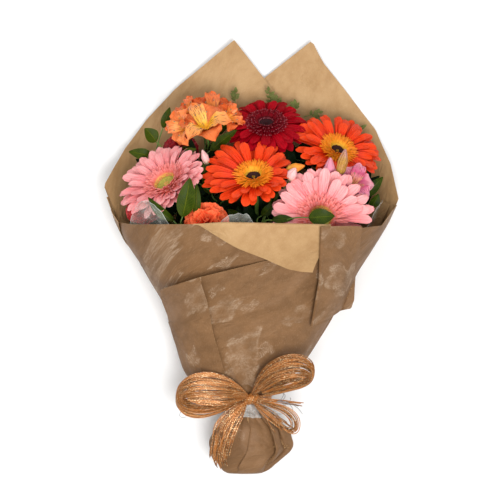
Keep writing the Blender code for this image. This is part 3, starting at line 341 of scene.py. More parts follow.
@dataclass
class Piece:
    """The faces of one finished piece, gathered as arrays and put into a mesh at the end."""

    name: str
    points: list[Array] = field(default_factory=list)
    faces: list[Array] = field(default_factory=list)
    uvs: list[Array] = field(default_factory=list)
    tones: list[Array] = field(default_factory=list)
    slots: list[Array] = field(default_factory=list)
    count: int = 0

    def _put(self, points: Array, faces: Array, uv: Array, tone: Array, slot: Array) -> None:
        """Adds points and the quads between them. A quad whose last two corners agree is a triangle.

        Args:
            points: The points.
            faces: Four corners a row, counted from 0.
            uv: Texture place of each point.
            tone: Tone of each point.
            slot: Finish number of each face.
        """
        self.points.append(points.reshape(-1, 3))
        self.faces.append(faces + self.count)
        self.uvs.append(uv.reshape(-1, 2))
        self.tones.append(tone.reshape(-1))
        self.slots.append(slot)
        self.count += len(self.points[-1])

    def sheets(
        self, grids: Array, thickness: float | Array, uv: Array, tone: Array | float = 0.0,
        slots: tuple[int, int] = (0, 0), round_trip: bool = False,
    ) -> None:
        """Adds thin closed walls on surface grids.

        Each point is moved half the thickness along its normal and against it.

        Args:
            grids: Points with axes (sheet, across, along, 3).
            thickness: Wall thickness, a number or one for each (across, along).
            uv: Texture places with axes (sheet, across, along, 2), or without the first.
            tone: One number for each sheet, kept as an attribute.
            slots: Finish numbers of the face along the normal and of the other.
            round_trip: Whether the last column joins the first.
        """
        many, across, along = grids.shape[:3]
        normals = grid_normals(grids)
        if round_trip:
            wide = np.concatenate((grids[:, -2:-1], grids, grids[:, 1:2]), axis=1)
            normals = grid_normals(wide)[:, 1:-1]
        half = 0.5 * np.broadcast_to(np.asarray(thickness, float), (across, along))[None, ..., None]
        points = np.stack((grids + normals * half, grids - normals * half), axis=1)
        size = across * along
        index = np.arange(size).reshape(across, along)
        if round_trip:
            index[-1] = index[0]
        a, b, c, d = index[:-1, :-1], index[1:, :-1], index[1:, 1:], index[:-1, 1:]
        top = np.stack((a, b, c, d), axis=-1).reshape(-1, 4)
        edges = [index[:, 0], index[::-1, -1]]
        if not round_trip:
            edges += [index[0, ::-1], index[-1]]
        rim = np.concatenate([np.stack((e[1:], e[:-1], e[:-1] + size, e[1:] + size), axis=-1) for e in edges])
        faces = np.concatenate((top, top[:, ::-1] + size, rim))
        slot = np.concatenate((np.full(len(top), slots[0]), np.full(len(top) + len(rim), slots[1])))
        faces = faces[None] + (np.arange(many) * 2 * size)[:, None, None]
        uv = np.broadcast_to(uv, (many, across, along, 2))
        tone = np.broadcast_to(np.asarray(tone, float).reshape(-1, 1), (many, 2 * size))
        self._put(points, faces.reshape(-1, 4), np.stack((uv, uv), axis=1), tone, np.tile(slot, many))

    def tubes(
        self, paths: Array, radius: float | Array, sides: int, side: Sequence[float] = (0.0, 0.0, 1.0),
        tone: Array | float = 0.0, slot: int = 0,
    ) -> None:
        """Adds round closed tubes along paths: a circle in the plane across each step, its ends drawn in.

        Args:
            paths: Points with axes (tube, along, 3).
            radius: A number, or radii along the path.
            sides: Corners of the circle.
            side: A direction that no path runs along, which the circles are turned by.
            tone: One number for each tube, kept as an attribute.
            slot: Finish number.
        """
        many, along = paths.shape[:2]
        tangents = unit(np.gradient(paths, axis=1))
        first = unit(np.cross(tangents, np.asarray(side, float)))
        second = np.cross(tangents, first)
        size = np.broadcast_to(np.asarray(radius, float), (many, along)).copy()
        size[:, [0, -1]] *= TUBE_END
        turn = 2 * np.pi * np.arange(sides) / sides
        circle = first[:, :, None] * np.cos(turn)[:, None] + second[:, :, None] * np.sin(turn)[:, None]
        points = paths[:, :, None] + circle * size[..., None, None]
        index = np.arange(along * sides).reshape(along, sides)
        after = np.roll(index, -1, axis=1)
        wall = np.stack((index[:-1], after[:-1], after[1:], index[1:]), axis=-1).reshape(-1, 4)
        ahead, back = fans(sides)
        faces = np.concatenate((wall, back, ahead + (along - 1) * sides))
        faces = faces[None] + (np.arange(many) * along * sides)[:, None, None]
        uv = joined((np.arange(sides) / sides)[None, None], walked(paths, 1)[..., None])
        tone = np.broadcast_to(np.asarray(tone, float).reshape(-1, 1), (many, along * sides))
        self._put(points, faces.reshape(-1, 4), uv, tone, np.full(faces.shape[0] * faces.shape[1], slot))

    def turned(self, profile: EdgeLine, steps: int, frame: Array, tone: float = 0.0, slot: int = 0) -> None:
        """Adds a solid turned round an axis: (radius, height) pairs from the top middle to the bottom middle.

        Args:
            profile: Pairs whose first and last radius is nearly zero.
            steps: Corners of a turn.
            frame: 4 by 4 matrix from the axis's own space.
            tone: Kept as an attribute.
            slot: Finish number.
        """
        line = smooth_path(np.array(profile), 4 * len(profile))
        line[:, 0] = np.maximum(line[:, 0], 2e-5)
        turn = 2 * np.pi * np.arange(steps) / steps
        ring = joined(line[:, :1] * np.cos(turn), line[:, :1] * np.sin(turn), line[:, 1:2])
        index = np.arange(len(line) * steps).reshape(len(line), steps)
        after = np.roll(index, -1, axis=1)
        wall = np.stack((index[:-1], index[1:], after[1:], after[:-1]), axis=-1).reshape(-1, 4)
        ahead, back = fans(steps)
        faces = np.concatenate((wall, ahead, back + (len(line) - 1) * steps))
        uv = joined(turn[None] / FULL_TURN, np.linspace(0, 1, len(line))[:, None])
        self._put(move(ring, frame), faces, uv, np.full(index.size, tone), np.full(len(faces), slot))

    def build(self, finishes: Sequence[Material], node: str) -> None:
        """Makes the object, puts its numbers in with foreach_set, and hands it to the frame.

        Args:
            finishes: Materials in the order of the finish numbers.
            node: The solid that this piece stands for.
        """
        points, faces = np.concatenate(self.points), np.concatenate(self.faces)
        uvs, tones, slots = np.concatenate(self.uvs), np.concatenate(self.tones), np.concatenate(self.slots)
        sizes = np.where(faces[:, 2] == faces[:, 3], 3, 4)
        keep = np.ones(faces.shape, bool)
        keep[:, 3] = sizes == 4
        corners = faces[keep]
        mesh = bpy.data.meshes.new(self.name)
        mesh.vertices.add(len(points))
        mesh.vertices.foreach_set("co", points.astype(np.float32).ravel())
        mesh.loops.add(len(corners))
        mesh.loops.foreach_set("vertex_index", corners.astype(np.int32))
        mesh.polygons.add(len(faces))
        mesh.polygons.foreach_set("loop_start", np.concatenate(([0], np.cumsum(sizes)[:-1])).astype(np.int32))
        mesh.polygons.foreach_set("loop_total", sizes.astype(np.int32))
        mesh.polygons.foreach_set("material_index", slots.astype(np.int32))
        mesh.update(calc_edges=True)
        layer = mesh.uv_layers.new(name="UVMap")
        layer.data.foreach_set("uv", uvs[corners].astype(np.float32).ravel())
        tone = mesh.attributes.new("tone", "FLOAT", "POINT")
        tone.data.foreach_set("value", tones.astype(np.float32))
        mesh.polygons.foreach_set("use_smooth", np.ones(len(faces), bool))
        mesh.set_sharp_from_angle(angle=SHARP)
        for finish in finishes:
            mesh.materials.append(finish)
        obj = bpy.data.objects.new(self.name, mesh)
        bpy.context.scene.collection.objects.link(obj)
        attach(obj, "root")
        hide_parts(node)
        LOG.info("%s: %d faces", self.name, len(faces))


def move(points: Array, frame: Array) -> Array:
    """Points carried by a 4 by 4 matrix."""
    return points @ frame[:3, :3].T + frame[:3, 3]


def head_frame(centre: Sequence[float], tilt: float, heading: float) -> Array:
    """Frame of a flower head: Z along its face's normal, Y nearest to the bouquet's +Y.

    Args:
        centre: Place of the head.
        tilt: Degrees from straight up.
        heading: Compass of the tilt in degrees, 90 towards +Y.

    Returns:
        A 4 by 4 matrix.
    """
    tilt, heading = np.radians(tilt), np.radians(heading)
    normal = np.array((np.sin(tilt) * np.cos(heading), np.sin(tilt) * np.sin(heading), np.cos(tilt)))
    return axis_frame(centre, normal)


def axis_frame(centre: Sequence[float], normal: Sequence[float]) -> Array:
    """Frame with Z along normal and Y nearest to +Y, or to +Z where the normal is near +Y.

    Args:
        centre: Its origin.
        normal: The way of its Z axis.

    Returns:
        A 4 by 4 matrix.
    """
    normal = unit(np.asarray(normal, float))
    up = np.array((0.0, 1.0, 0.0)) if abs(normal[1]) < 0.95 else np.array((0.0, 0.0, 1.0))
    y_axis = unit(up - normal * (up @ normal))
    frame = np.eye(4)
    frame[:3, 0], frame[:3, 1], frame[:3, 2], frame[:3, 3] = np.cross(y_axis, normal), y_axis, normal, centre
    return frame


@dataclass(frozen=True)
class WrapForm:
    """The paper's common form: closed sections along Y, and the folds that all its layers share."""

    gather: float = 0.003
    ripple: float = 0.0015
    dent: float = 0.00055
    facets: int = 7
    # Deep folds of the pouch: angle in degrees, depth as a share of its radius, and the side that falls steeply
    deep_folds: tuple[tuple[float, float, int], ...] = (
        (31, 0.3, 1), (-9, 0.24, 1), (-48, 0.14, -1), (66, 0.14, 1),
        (104, 0.08, 1), (146, 0.14, 1), (182, 0.1, 1), (214, 0.18, -1), (250, 0.14, 1),
    )
    # Soft creases of the front: x and y of both ends, height and half width
    creases: tuple[tuple[float, float, float, float, float, float], ...] = (
        (0.07, -0.046, 0.032, -0.083, 0.0022, 0.011), (0.032, -0.083, -0.008, -0.094, 0.0018, 0.01),
        (0.004, -0.183, 0.01, -0.128, 0.003, 0.006), (-0.006, -0.184, -0.026, -0.142, 0.0028, 0.006),
        (0.0, -0.18, -0.008, -0.15, -0.0022, 0.005), (0.012, -0.182, 0.034, -0.15, 0.0024, 0.006),
        (-0.13, -0.012, -0.098, -0.058, 0.0016, 0.012), (-0.04, -0.05, 0.01, -0.12, 0.001, 0.012),
        (0.136, -0.006, 0.104, -0.07, 0.0018, 0.01), (-0.06, -0.075, -0.052, -0.15, 0.001, 0.009),
    )

    def section(self, y: Array) -> list[Array]:
        """Left, right, lowest, crease and highest place, and flatness, at y."""
        return [hermite(np.asarray(y, float), SECTIONS[:, 0], column) for column in SECTIONS[:, 1:].T]

    def folds(self, angle: Array, y: Array) -> Array:
        """How far the folds move the paper outwards: sharp gathers near the neck, soft ripples and small dents.

        Args:
            angle: Angles round the wrap.
            y: Places along it.

        Returns:
            Distances in metres.
        """
        near = np.exp(-np.maximum(y - NECK_Y - 0.006, 0) / 0.028) * ease(y, NECK_Y, NECK_Y + 0.012)
        sharp = np.abs(np.sin(6.5 * angle + 0.8)) ** 0.7
        sharp = sharp + 0.6 * np.abs(np.sin(10.5 * angle + 2.1)) ** 0.7 - 1.05
        front = ease(np.cos(angle), -0.45, 0.15)
        cone = ease(y, -0.18, -0.12)
        spot = joined(angle * 0.09, y * 0.55)
        ripples = soft_noise(spot, 0.03, 3) + 0.5 * soft_noise(spot, 0.014, 5)
        dents = soft_noise(joined(angle * 0.11, y), 0.016, 8)
        total = self.gather * near * sharp + self.ripple * cone * ripples + self.dent * cone * dents
        return total * (0.15 + 0.85 * front)

    def creased(self, x: Array, y: Array) -> Array:
        """Height of the soft creases: each rises to a sharp line, in a straight slope on both sides.

        Args:
            x: Places across the wrap.
            y: Places along it.

        Returns:
            Heights in metres.
        """
        total = np.zeros(x.shape)
        for x0, y0, x1, y1, height, wide in self.creases:
            long = np.hypot(x1 - x0, y1 - y0)
            along = ((x - x0) * (x1 - x0) + (y - y0) * (y1 - y0)) / long**2
            off = np.abs((x - x0) * (y1 - y0) - (y - y0) * (x1 - x0)) / long
            slope = height * np.maximum(0, 1 - off / wide) ** 1.3
            total += slope * ease(along, -0.25, 0.2) * (1 - ease(along, 0.8, 1.25))
        return total

    def from_fold(self, at: float, side: int, angle: Array, y: Array) -> Array:
        """Angle from one of the pouch's folds, which runs down the pouch in a straight line away from the neck.

        Args:
            at: Where the fold crosses the pouch's widest place, in degrees.
            side: 1 or -1, the way in which the fold falls steeply.
            angle: Angles round the wrap.
            y: Places along it.

        Returns:
            The angle past the fold, on its steep side above 0.
        """
        left, right = self.section(np.clip(y, -0.27, -0.21))[:2]
        reach = np.sin(np.radians(at)) * POUCH_WIDTH / (right - left) * (1 - 12 * (y - POUCH_Y))
        start = np.arcsin(np.clip(reach, -0.97, 0.97))
        start = start if np.cos(np.radians(at)) > 0 else np.pi - start
        return side * (np.mod(angle - start + np.pi, 2 * np.pi) - np.pi)

    def pleats(self, angle: Array, y: Array) -> Array:
        """Folds of the pouch: each valley falls steeply on one side and opens on the other.

        Between them are flat facets, and near the neck sharp wrinkles.

        Args:
            angle: Angles round the pouch.
            y: Places along it.

        Returns:
            Heights as shares of the pouch's radius.
        """
        bag = ease(y, -0.279, -0.266) * (1 - ease(y, -0.211, -0.199))
        total = 0.5 * self.dent / 0.01 * soft_noise(joined(angle * 0.05, y), 0.012, 14)
        for at, depth, side in self.deep_folds:
            gap = self.from_fold(at, side, angle, y)
            total = total - depth * np.exp(np.where(gap > 0, -gap / 0.04, gap / 0.34))
        near_neck = np.exp(-np.maximum(-0.206 - y, 0) / 0.016)
        total = total + 0.19 * near_neck * (np.abs(np.sin(8.5 * angle + 0.5)) ** 0.7 - 0.65)
        side = 2 * np.pi / self.facets
        facets = np.cos(side / 2) / np.cos(np.mod(angle + 0.3 + 3.0 * (y - POUCH_Y), side) - side / 2)
        return bag * (total + 0.06 + 1.2 * (facets - 0.95))

    def leaning(self, angle: Array, y: Array) -> Array:
        """The pouch's ridges lean over their steep side.

        Args:
            angle: Angles round the pouch.
            y: Places along it.

        Returns:
            How far each point turns round the axis, in radians.
        """
        bag = ease(y, -0.272, -0.255) * (1 - ease(y, -0.213, -0.203))
        total = np.zeros(np.broadcast_shapes(angle.shape, y.shape))
        for at, depth, side in self.deep_folds:
            gap = self.from_fold(at, side, angle, y)
            total = total + side * depth * 1.15 * np.exp(np.where(gap > 0, -gap / 0.03, gap / 0.16))
        return bag * total

    def place(self, angle: Array, y: Array, layer: Array | float) -> Array:
        """Points of a layer of the wrap.

        The front half is an ellipse whose height is the cosine to a power below 1. The back half is flat in its
        middle and rises to the creases by a square law.

        Args:
            angle: 0 in the middle of the front, a quarter turn at the right crease, half a turn at the back.
            y: Place along the bouquet.
            layer: How far outside the inner sheet.

        Returns:
            Points with the coordinates in a new last axis.
        """
        angle, y, layer = np.broadcast_arrays(np.asarray(angle, float), np.asarray(y, float), layer)
        left, right, low, crease, high, flat = self.section(y)
        parted = NECK_SHARE + (1 - NECK_SHARE) * ease(y, NECK_Y + 0.01, NECK_Y + 0.085)
        layer = layer * parted + self.folds(angle, y)
        turned = angle + self.leaning(angle, y)
        u, cosine = np.sin(turned), np.cos(turned)
        half = (right - left) / 2 + layer
        front = crease + (high + layer - crease) * np.maximum(cosine, 0.0) ** (1 + (FRONT_POWER - 1) * flat)
        ramp = np.maximum(0.0, (np.abs(u) - FLAT_SHARE) / (1 - FLAT_SHARE)) ** 2
        rise = flat * ramp + (1 - flat) * (1 - np.sqrt(np.maximum(0.0, 1 - u * u)))
        back = low - layer + (crease - low + layer) * rise
        gather = 1 + self.pleats(angle, y)
        z = crease + (np.where(cosine >= 0, front, back) - crease) * gather
        x = (left + right) / 2 + half * u * gather
        z = z + self.creased(x, y) * ease(cosine, 0.05, 0.3)
        curl = np.maximum(0.0, (y - PEAK_START_Y) / (SECTIONS[-1, 0] - PEAK_START_Y)) ** 1.25
        return joined(x, y, np.maximum(z, LOWEST) + PEAK_CURL * curl)

    def angle_over(self, x: Array, y: Array, layer: float) -> Array:
        """Angle of the front's point over x at y."""
        left, right = self.section(y)[:2]
        return np.arcsin(np.clip((x - (left + right) / 2) / ((right - left) / 2 + layer), -1, 1))

    def top(self, angle: Array, edge: EdgeLine, layer: float) -> Array:
        """The y at which lines of constant angle meet a cut edge given as x and y."""
        return meeting(lambda y: y < read_edge(edge, self.place(angle, y, layer)[..., 0]), len(angle))


FORM = WrapForm()


def over_edge(y: Array, edge: EdgeLine, layer: float) -> Array:
    """Angle over an edge that is given as y and x."""
    return FORM.angle_over(read_edge(edge, y), y, layer)


@dataclass
class Mixture:
    """A material's node tree around its Principled shader, with short calls that add and link nodes."""

    name: str

    def __post_init__(self) -> None:
        """Starts the material."""
        self.material = bpy.data.materials.new(self.name)
        self.material.use_nodes = True
        self.tree = self.material.node_tree
        self.surface = self.tree.nodes["Principled BSDF"]

    def feed(self, socket: Socket, value: object) -> None:
        """Links a socket to a value, or sets it.

        Args:
            socket: The socket.
            value: Another socket, or a number, a colour or a vector.
        """
        if isinstance(value, Socket):
            self.tree.links.new(value, socket)
        elif isinstance(value, tuple) and len(value) == 3 and socket.type == "RGBA":
            socket.default_value = (*value, 1.0)
        else:
            socket.default_value = value

    def node(self, kind: str, feeds: dict[str | int, object], **settings: object) -> bpy.types.Node:
        """Adds a node.

        Args:
            kind: Its type without the common front part.
            feeds: Values or sockets for its inputs, by name or number.
            settings: Its own properties.

        Returns:
            The node.
        """
        made = self.tree.nodes.new("ShaderNode" + kind)
        for key, value in settings.items():
            setattr(made, key, value)
        for key, value in feeds.items():
            self.feed(made.inputs[key], value)
        return made

    def places(self, source: str = "UV", scale: Point = (1, 1, 1)) -> Socket:
        """Scaled texture places. source is UV or Object."""
        start = self.node("TexCoord", {}).outputs[source]
        return self.node("Mapping", {"Vector": start, "Scale": scale}).outputs[0]

    def noise(self, vector: object, scale: float, detail: float = 3.0, rough: float = 0.55) -> Socket:
        """Noise from 0 to 1."""
        feeds = {"Vector": vector, "Scale": scale, "Detail": detail, "Roughness": rough}
        return self.node("TexNoise", feeds).outputs["Fac"]

    def math(self, kind: str, *values: object) -> Socket:
        """One sum on numbers."""
        return self.node("Math", dict(enumerate(values)), operation=kind).outputs[0]

    def plus(self, first: object, second: object) -> Socket:
        """first + second."""
        return self.math("ADD", first, second)

    def minus(self, first: object, second: object) -> Socket:
        """first - second."""
        return self.math("SUBTRACT", first, second)

    def times(self, first: object, second: object) -> Socket:
        """first x second."""
        return self.math("MULTIPLY", first, second)

    def vector(self, kind: str, first: object, second: object) -> Socket:
        """One sum on vectors. The second value of SCALE is a number."""
        key = "Scale" if kind == "SCALE" else 1
        return self.node("VectorMath", {0: first, key: second}, operation=kind).outputs[0]

    def turned(self, vector: object, angle: object) -> Socket:
        """A vector turned in the plane by an angle."""
        return self.node("VectorRotate", {"Vector": vector, "Angle": angle}, rotation_type="Z_AXIS").outputs[0]

    def from_border(self, vector: object, bend_scale: float, bend: float, scale: float) -> Socket:
        """Distance from the borders of Voronoi cells, at places that a coloured noise has moved about.

        Args:
            vector: The places.
            bend_scale: Scale of that noise.
            bend: How far it moves them.
            scale: Cells in a metre.

        Returns:
            The distance, in cells.
        """
        moved = self.node("TexNoise", {"Vector": vector, "Scale": bend_scale}).outputs["Color"]
        moved = self.vector("ADD", vector, self.vector("SCALE", moved, bend))
        made = self.node("TexVoronoi", {"Vector": moved, "Scale": scale}, feature="DISTANCE_TO_EDGE")
        return made.outputs["Distance"]

    def set_apart(self, places: object, tone: object, far: float) -> Socket:
        """Places of a pattern, moved by each petal's tone so that no two petals show the same stretch of it."""
        return self.vector("ADD", places, self.node("CombineXYZ", {2: self.times(tone, far)}).outputs[0])

    def between(self, value: object, low: float, high: float, first: float = 0.0, last: float = 1.0) -> Socket:
        """value carried smoothly from low..high to first..last, and held there beyond."""
        feeds = {0: value, 1: low, 2: high, 3: first, 4: last}
        return self.node("MapRange", feeds, interpolation_type="SMOOTHSTEP").outputs[0]

    def mix(self, share: object, first: object, last: object) -> Socket:
        """first at share 0, last at share 1."""
        return self.node("Mix", {0: share, 6: first, 7: last}, data_type="RGBA").outputs[2]

    def ramp(self, value: object, stops: Sequence[tuple[float, Colour]]) -> Socket:
        """Colours along value from 0 to 1.

        Args:
            value: The value.
            stops: Places and colours, in any order.

        Returns:
            The colour.
        """
        made = self.node("ValToRGB", {0: value})
        band = made.color_ramp
        for at, _ in stops[2:]:
            band.elements.new(at)
        for element, (at, colour) in zip(band.elements, sorted(stops)):
            element.position, element.color = at, (*colour, 1.0)
        return made.outputs[0]

    def tone(self) -> Socket:
        """The number that a piece keeps for each petal, leaf or strand."""
        return self.node("Attribute", {}, attribute_name="tone").outputs["Fac"]

    def parts(self, vector: object) -> tuple[Socket, Socket]:
        """The first two coordinates of a vector."""
        made = self.node("SeparateXYZ", {0: vector})
        return made.outputs[0], made.outputs[1]

    def bump(self, height: object, distance: float, strength: float = 1.0) -> None:
        """Adds relief to the surface."""
        made = self.node("Bump", {"Height": height, "Distance": distance, "Strength": strength})
        self.feed(self.surface.inputs["Normal"], made.outputs[0])

    def done(self, colour: object, rough: object, **others: object) -> Material:
        """Sets the shader's sockets.

        Args:
            colour: The surface's colour.
            rough: Its roughness.
            others: Values of other sockets, whose names have _ for each space.

        Returns:
            The material.
        """
        for key, value in {"Base Color": colour, "Roughness": rough, **others}.items():
            self.feed(self.surface.inputs[key.replace("_", " ")], value)
        return self.material


@dataclass(frozen=True)
class KraftPaper:
    """Brown kraft paper, outside with a pale print of open flowers and leaf sprays, inside bare."""

    side: Side
    dark: Colour = (0.158, 0.079, 0.032)
    pale: Colour = (0.218, 0.112, 0.048)
    inside_dark: Colour = (0.36, 0.206, 0.087)
    inside_pale: Colour = (0.44, 0.27, 0.124)
    ink: Colour = (0.45, 0.325, 0.22)
    repeat: float = 0.056

    def make(self) -> Material:
        """Mottle from three noises, streaks of fibre along the sheet, and the print over them.

        Returns:
            The material.
        """
        m = Mixture(f"kraft_{self.side.value}_0")
        flat = m.places()
        clouds = m.noise(flat, 26, 4, 0.6)
        blots = m.noise(flat, 95, 3, 0.6)
        fibre = m.noise(m.places("UV", (1900, 330, 1)), 1.0, 2)
        specks = m.noise(flat, 1500, 1)
        mottle = m.plus(m.times(clouds, 0.62), m.times(blots, 0.38))
        tone = m.between(mottle, 0.34, 0.64)
        bare = self.side is Side.PLAIN
        colour = m.mix(tone, self.inside_dark if bare else self.dark, self.inside_pale if bare else self.pale)
        colour = m.mix(m.between(fibre, 0.5, 0.8, 0.0, 0.16), colour, (0.72, 0.53, 0.33))
        colour = m.mix(m.between(specks, 0.6, 0.74, 0.0, 0.3), colour, (0.22, 0.12, 0.06))
        if not bare:
            colour = m.mix(self.printed(m, flat), colour, self.ink)
        edges = m.from_border(flat, 40.0, 0.03, 46.0)
        handled = m.between(m.noise(flat, 17, 2), 0.44, 0.62)
        crumple = m.times(m.between(edges, 0.0, 0.16, 1.0, 0.0), handled)
        relief = m.plus(m.times(fibre, 0.25), m.times(blots, 1.2))
        m.bump(m.plus(relief, m.times(crumple, 1.5)), 0.00024)
        return m.done(colour, m.between(clouds, 0.3, 0.7, 0.66, 0.54), Specular_IOR_Level=0.22)

    def printed(self, m: Mixture, flat: object) -> Socket:
        """Strength of the print's ink.

        Cells of a Voronoi pattern each hold one motif, turned by the cell's own random number: an open flower,
        where the radius stays below a five-lobed curve, or three narrow leaves, hatched with fine strokes.

        Args:
            m: The material being mixed.
            flat: Places on the sheet in metres.

        Returns:
            A socket from 0 to about 0.6.
        """
        feeds = {"Vector": flat, "Scale": 1 / self.repeat, "Randomness": 0.62}
        cells = m.node("TexVoronoi", feeds, voronoi_dimensions="2D")
        away = m.vector("SUBTRACT", flat, cells.outputs["Position"])
        local = m.vector("MULTIPLY", away, (1 / self.repeat,) * 3)
        pick, turn = m.parts(cells.outputs["Color"])
        wobble = m.node("TexNoise", {"Vector": flat, "Scale": 160.0, "Detail": 2.0}).outputs["Color"]
        wobble = m.vector("SCALE", m.vector("SUBTRACT", wobble, (0.5, 0.5, 0.5)), 0.17)
        local = m.vector("ADD", local, wobble)
        local = m.turned(local, m.times(turn, FULL_TURN))
        x, y = m.parts(local)
        radius = m.node("VectorMath", {0: local}, operation="LENGTH").outputs["Value"]
        around = m.math("ARCTAN2", y, x)
        lobes = m.math("ABSOLUTE", m.math("COSINE", m.times(around, 2.5)))
        size = m.between(pick, 0.45, 1.0, 0.8, 1.35)
        lobe = m.times(m.plus(0.235, m.times(m.math("POWER", lobes, 0.6), 0.135)), size)
        inside = m.minus(lobe, radius)
        petal = m.between(inside, -0.03, 0.05)
        veins = m.math("SINE", m.times(around, 45))
        shade = m.between(m.plus(m.times(veins, 0.1), m.times(radius, 2.6)), 0.1, 1.05)
        heart = m.between(radius, 0.055, 0.085)
        flower = m.times(m.times(petal, heart), m.plus(0.1, m.times(shade, 0.42)))
        hatch = m.math("SINE", m.plus(m.times(x, 150), m.times(y, 38)))
        hatch = m.between(hatch, -0.55, 0.35, 0.2, 1.0)
        spray = None
        for spread, length, start in ((-0.62, 0.3, 0.02), (0.06, 0.4, 0.06), (0.7, 0.27, 0.0)):
            across, along = m.parts(m.turned(local, spread))
            middle = m.math("DIVIDE", m.minus(along, start + length / 2), length / 2)
            width = m.times(m.minus(1.0, m.times(middle, middle)), 0.078)
            leaf = m.between(m.minus(width, m.math("ABSOLUTE", across)), -0.004, 0.01)
            spray = leaf if spray is None else m.math("MAXIMUM", spray, leaf)
        spray = m.times(m.times(spray, hatch), 0.56)
        chosen = m.math("GREATER_THAN", pick, 0.45)
        ink = m.plus(m.times(flower, chosen), m.times(spray, m.minus(1.0, chosen)))
        patches = m.between(m.noise(flat, 75, 3, 0.6), 0.36, 0.62, 0.1, 1.0)
        worn = m.times(m.between(m.noise(flat, 420, 3), 0.34, 0.6, 0.35, 1.15), patches)
        return m.times(ink, worn)


@dataclass(frozen=True)
class ClearFilm:
    """Thin clear film, creased all over, with painted highlights: whiter and less clear along its creases and
    in soft patches.
    """

    name: str
    alpha: float
    colour: Colour = (0.56, 0.57, 0.5)

    def make(self) -> Material:
        """Creases are the borders of Voronoi cells; the film is painted whiter and denser there, and in soft
        patches, as highlights.

        Returns:
            The material.
        """
        m = Mixture(self.name)
        place = m.places("Object")
        crease = m.between(m.from_border(place, 55.0, 0.02, 62.0), 0.0, 0.045, 1.0, 0.0)
        soft = m.noise(place, 70, 3)
        m.bump(m.plus(m.times(crease, 0.7), m.times(soft, 1.2)), 0.0008)
        # Painted highlights: the film is whiter and less clear along the creases and in soft patches
        painted_crease_highlight = m.times(crease, 0.07)
        alpha_with_painted_highlights = m.plus(m.between(soft, 0.35, 0.7, self.alpha * 0.6, self.alpha * 1.4), painted_crease_highlight)
        return m.done(m.mix(crease, self.colour, (0.86, 0.86, 0.82)), 0.2, Alpha=alpha_with_painted_highlights, Specular_IOR_Level=0.4)


@dataclass(frozen=True)
class CopperStrand:
    """Copper coloured strand with painted glints: bright slanting bands of colour that stand in for highlights.
    """

    name: str = "copper_strand"
    dark: Colour = (0.085, 0.028, 0.006)
    body: Colour = (0.57, 0.205, 0.042)
    # Colour of the painted highlights
    painted_glint: Colour = (1.0, 0.76, 0.42)
    metallic: float = 0.35

    def make(self) -> Material:
        """Painted highlights show as slanting bands along the strand, broken by noise; each strand has its own
        shade.

        Returns:
            The material.
        """
        m = Mixture(self.name)
        u, v = m.parts(m.places("UV"))
        wind = m.plus(m.times(v, 2000.0), m.times(u, FULL_TURN))
        wind = m.plus(wind, m.times(m.tone(), 90.0))
        twist = m.math("SINE", wind)
        spark = m.noise(m.places("Object"), 620, 2, 0.7)
        # Painted highlights: bright bands where the twist and a noise agree
        glint = m.times(m.between(twist, 0.25, 0.85), m.between(spark, 0.51, 0.57))
        shade = m.mix(m.tone(), self.dark, self.body)
        wear = m.noise(m.places("Object"), 120, 2)
        colour = m.mix(m.between(wear, 0.4, 0.65, 0.0, 0.3), shade, self.body)
        colour = m.mix(glint, colour, self.painted_glint)
        m.bump(twist, 0.0001)
        return m.done(colour, m.between(spark, 0.4, 0.6, 0.42, 0.26), Metallic=self.metallic)


@dataclass(frozen=True)
class Petal:
    """Soft petal whose colour runs from root to tip, with fine veins along it."""

    name: str
    root: Colour
    body: Colour
    tip: Colour
    vein: Colour
    veins: float = 9.0
    vein_share: float = 0.45
    relief: float = 0.0003
    blotch: float = 0.25
    shine: float = 0.22
    tip_from: float = 0.42

    def make(self) -> Material:
        """Veins are noise stretched along the petal; the tone of each petal lightens or darkens it.

        Returns:
            The material.
        """
        m = Mixture(self.name)
        _, v = m.parts(m.places("UV"))
        shade = m.tone()
        lines = m.places("UV", (self.veins, 0.55, 1))
        vein = m.noise(m.set_apart(lines, shade, 37.0), 3.2, 2, 0.5)
        first_body = min(0.4, self.tip_from)
        stops = ((0.02, self.root), (0.98, self.tip), (first_body, self.body), (self.tip_from, self.body))
        colour = m.ramp(v, stops)
        line = m.between(vein, 0.42, 0.62, self.vein_share, 0.0)
        colour = m.mix(line, colour, self.vein)
        cloud = m.noise(m.places("Object"), 130, 2)
        colour = m.mix(m.between(cloud, 0.4, 0.75, 0.0, self.blotch), colour, self.tip)
        deep = m.between(shade, 0.0, 0.5, 0.3, 0.0)
        colour = m.mix(deep, colour, self.vein)
        m.bump(m.plus(vein, m.times(cloud, 0.3)), self.relief)
        return m.done(
            colour, 0.5, Subsurface_Weight=0.12, Subsurface_Radius=(0.8, 0.3, 0.2), Subsurface_Scale=0.0015,
            Specular_IOR_Level=self.shine,
        )


@dataclass(frozen=True)
class StreakedTepal:
    """Inner petal of the alstroemeria: a yellow throat with dark broken streaks."""

    name: str
    throat: Colour
    body: Colour
    tip: Colour
    streak: Colour

    def make(self) -> Material:
        """A streak is where stretched Voronoi cells have their centres, in the middle of the petal's length.

        Returns:
            The material.
        """
        m = Mixture(self.name)
        u, v = m.parts(m.places("UV"))
        colour = m.ramp(v, ((0.05, self.throat), (0.98, self.tip), (0.26, self.throat), (0.58, self.body)))
        lines = m.set_apart(m.places("UV", (18.0, 4.0, 1)), m.tone(), 11.0)
        spots = m.node("TexVoronoi", {"Vector": lines, "Scale": 1.0, "Randomness": 0.8}).outputs["Distance"]
        streak = m.between(spots, 0.3, 0.42, 0.95, 0.0)
        window = m.times(m.between(v, 0.14, 0.26), m.between(v, 0.8, 0.92, 1.0, 0.0))
        colour = m.mix(m.times(streak, window), colour, self.streak)
        vein = m.noise(m.places("UV", (10, 0.6, 1)), 3.0, 2)
        colour = m.mix(m.between(vein, 0.4, 0.62, 0.3, 0.0), colour, self.body)
        m.bump(vein, 0.0003)
        return m.done(
            colour, 0.42, Subsurface_Weight=0.22, Subsurface_Radius=(0.8, 0.4, 0.2), Subsurface_Scale=0.002,
        )


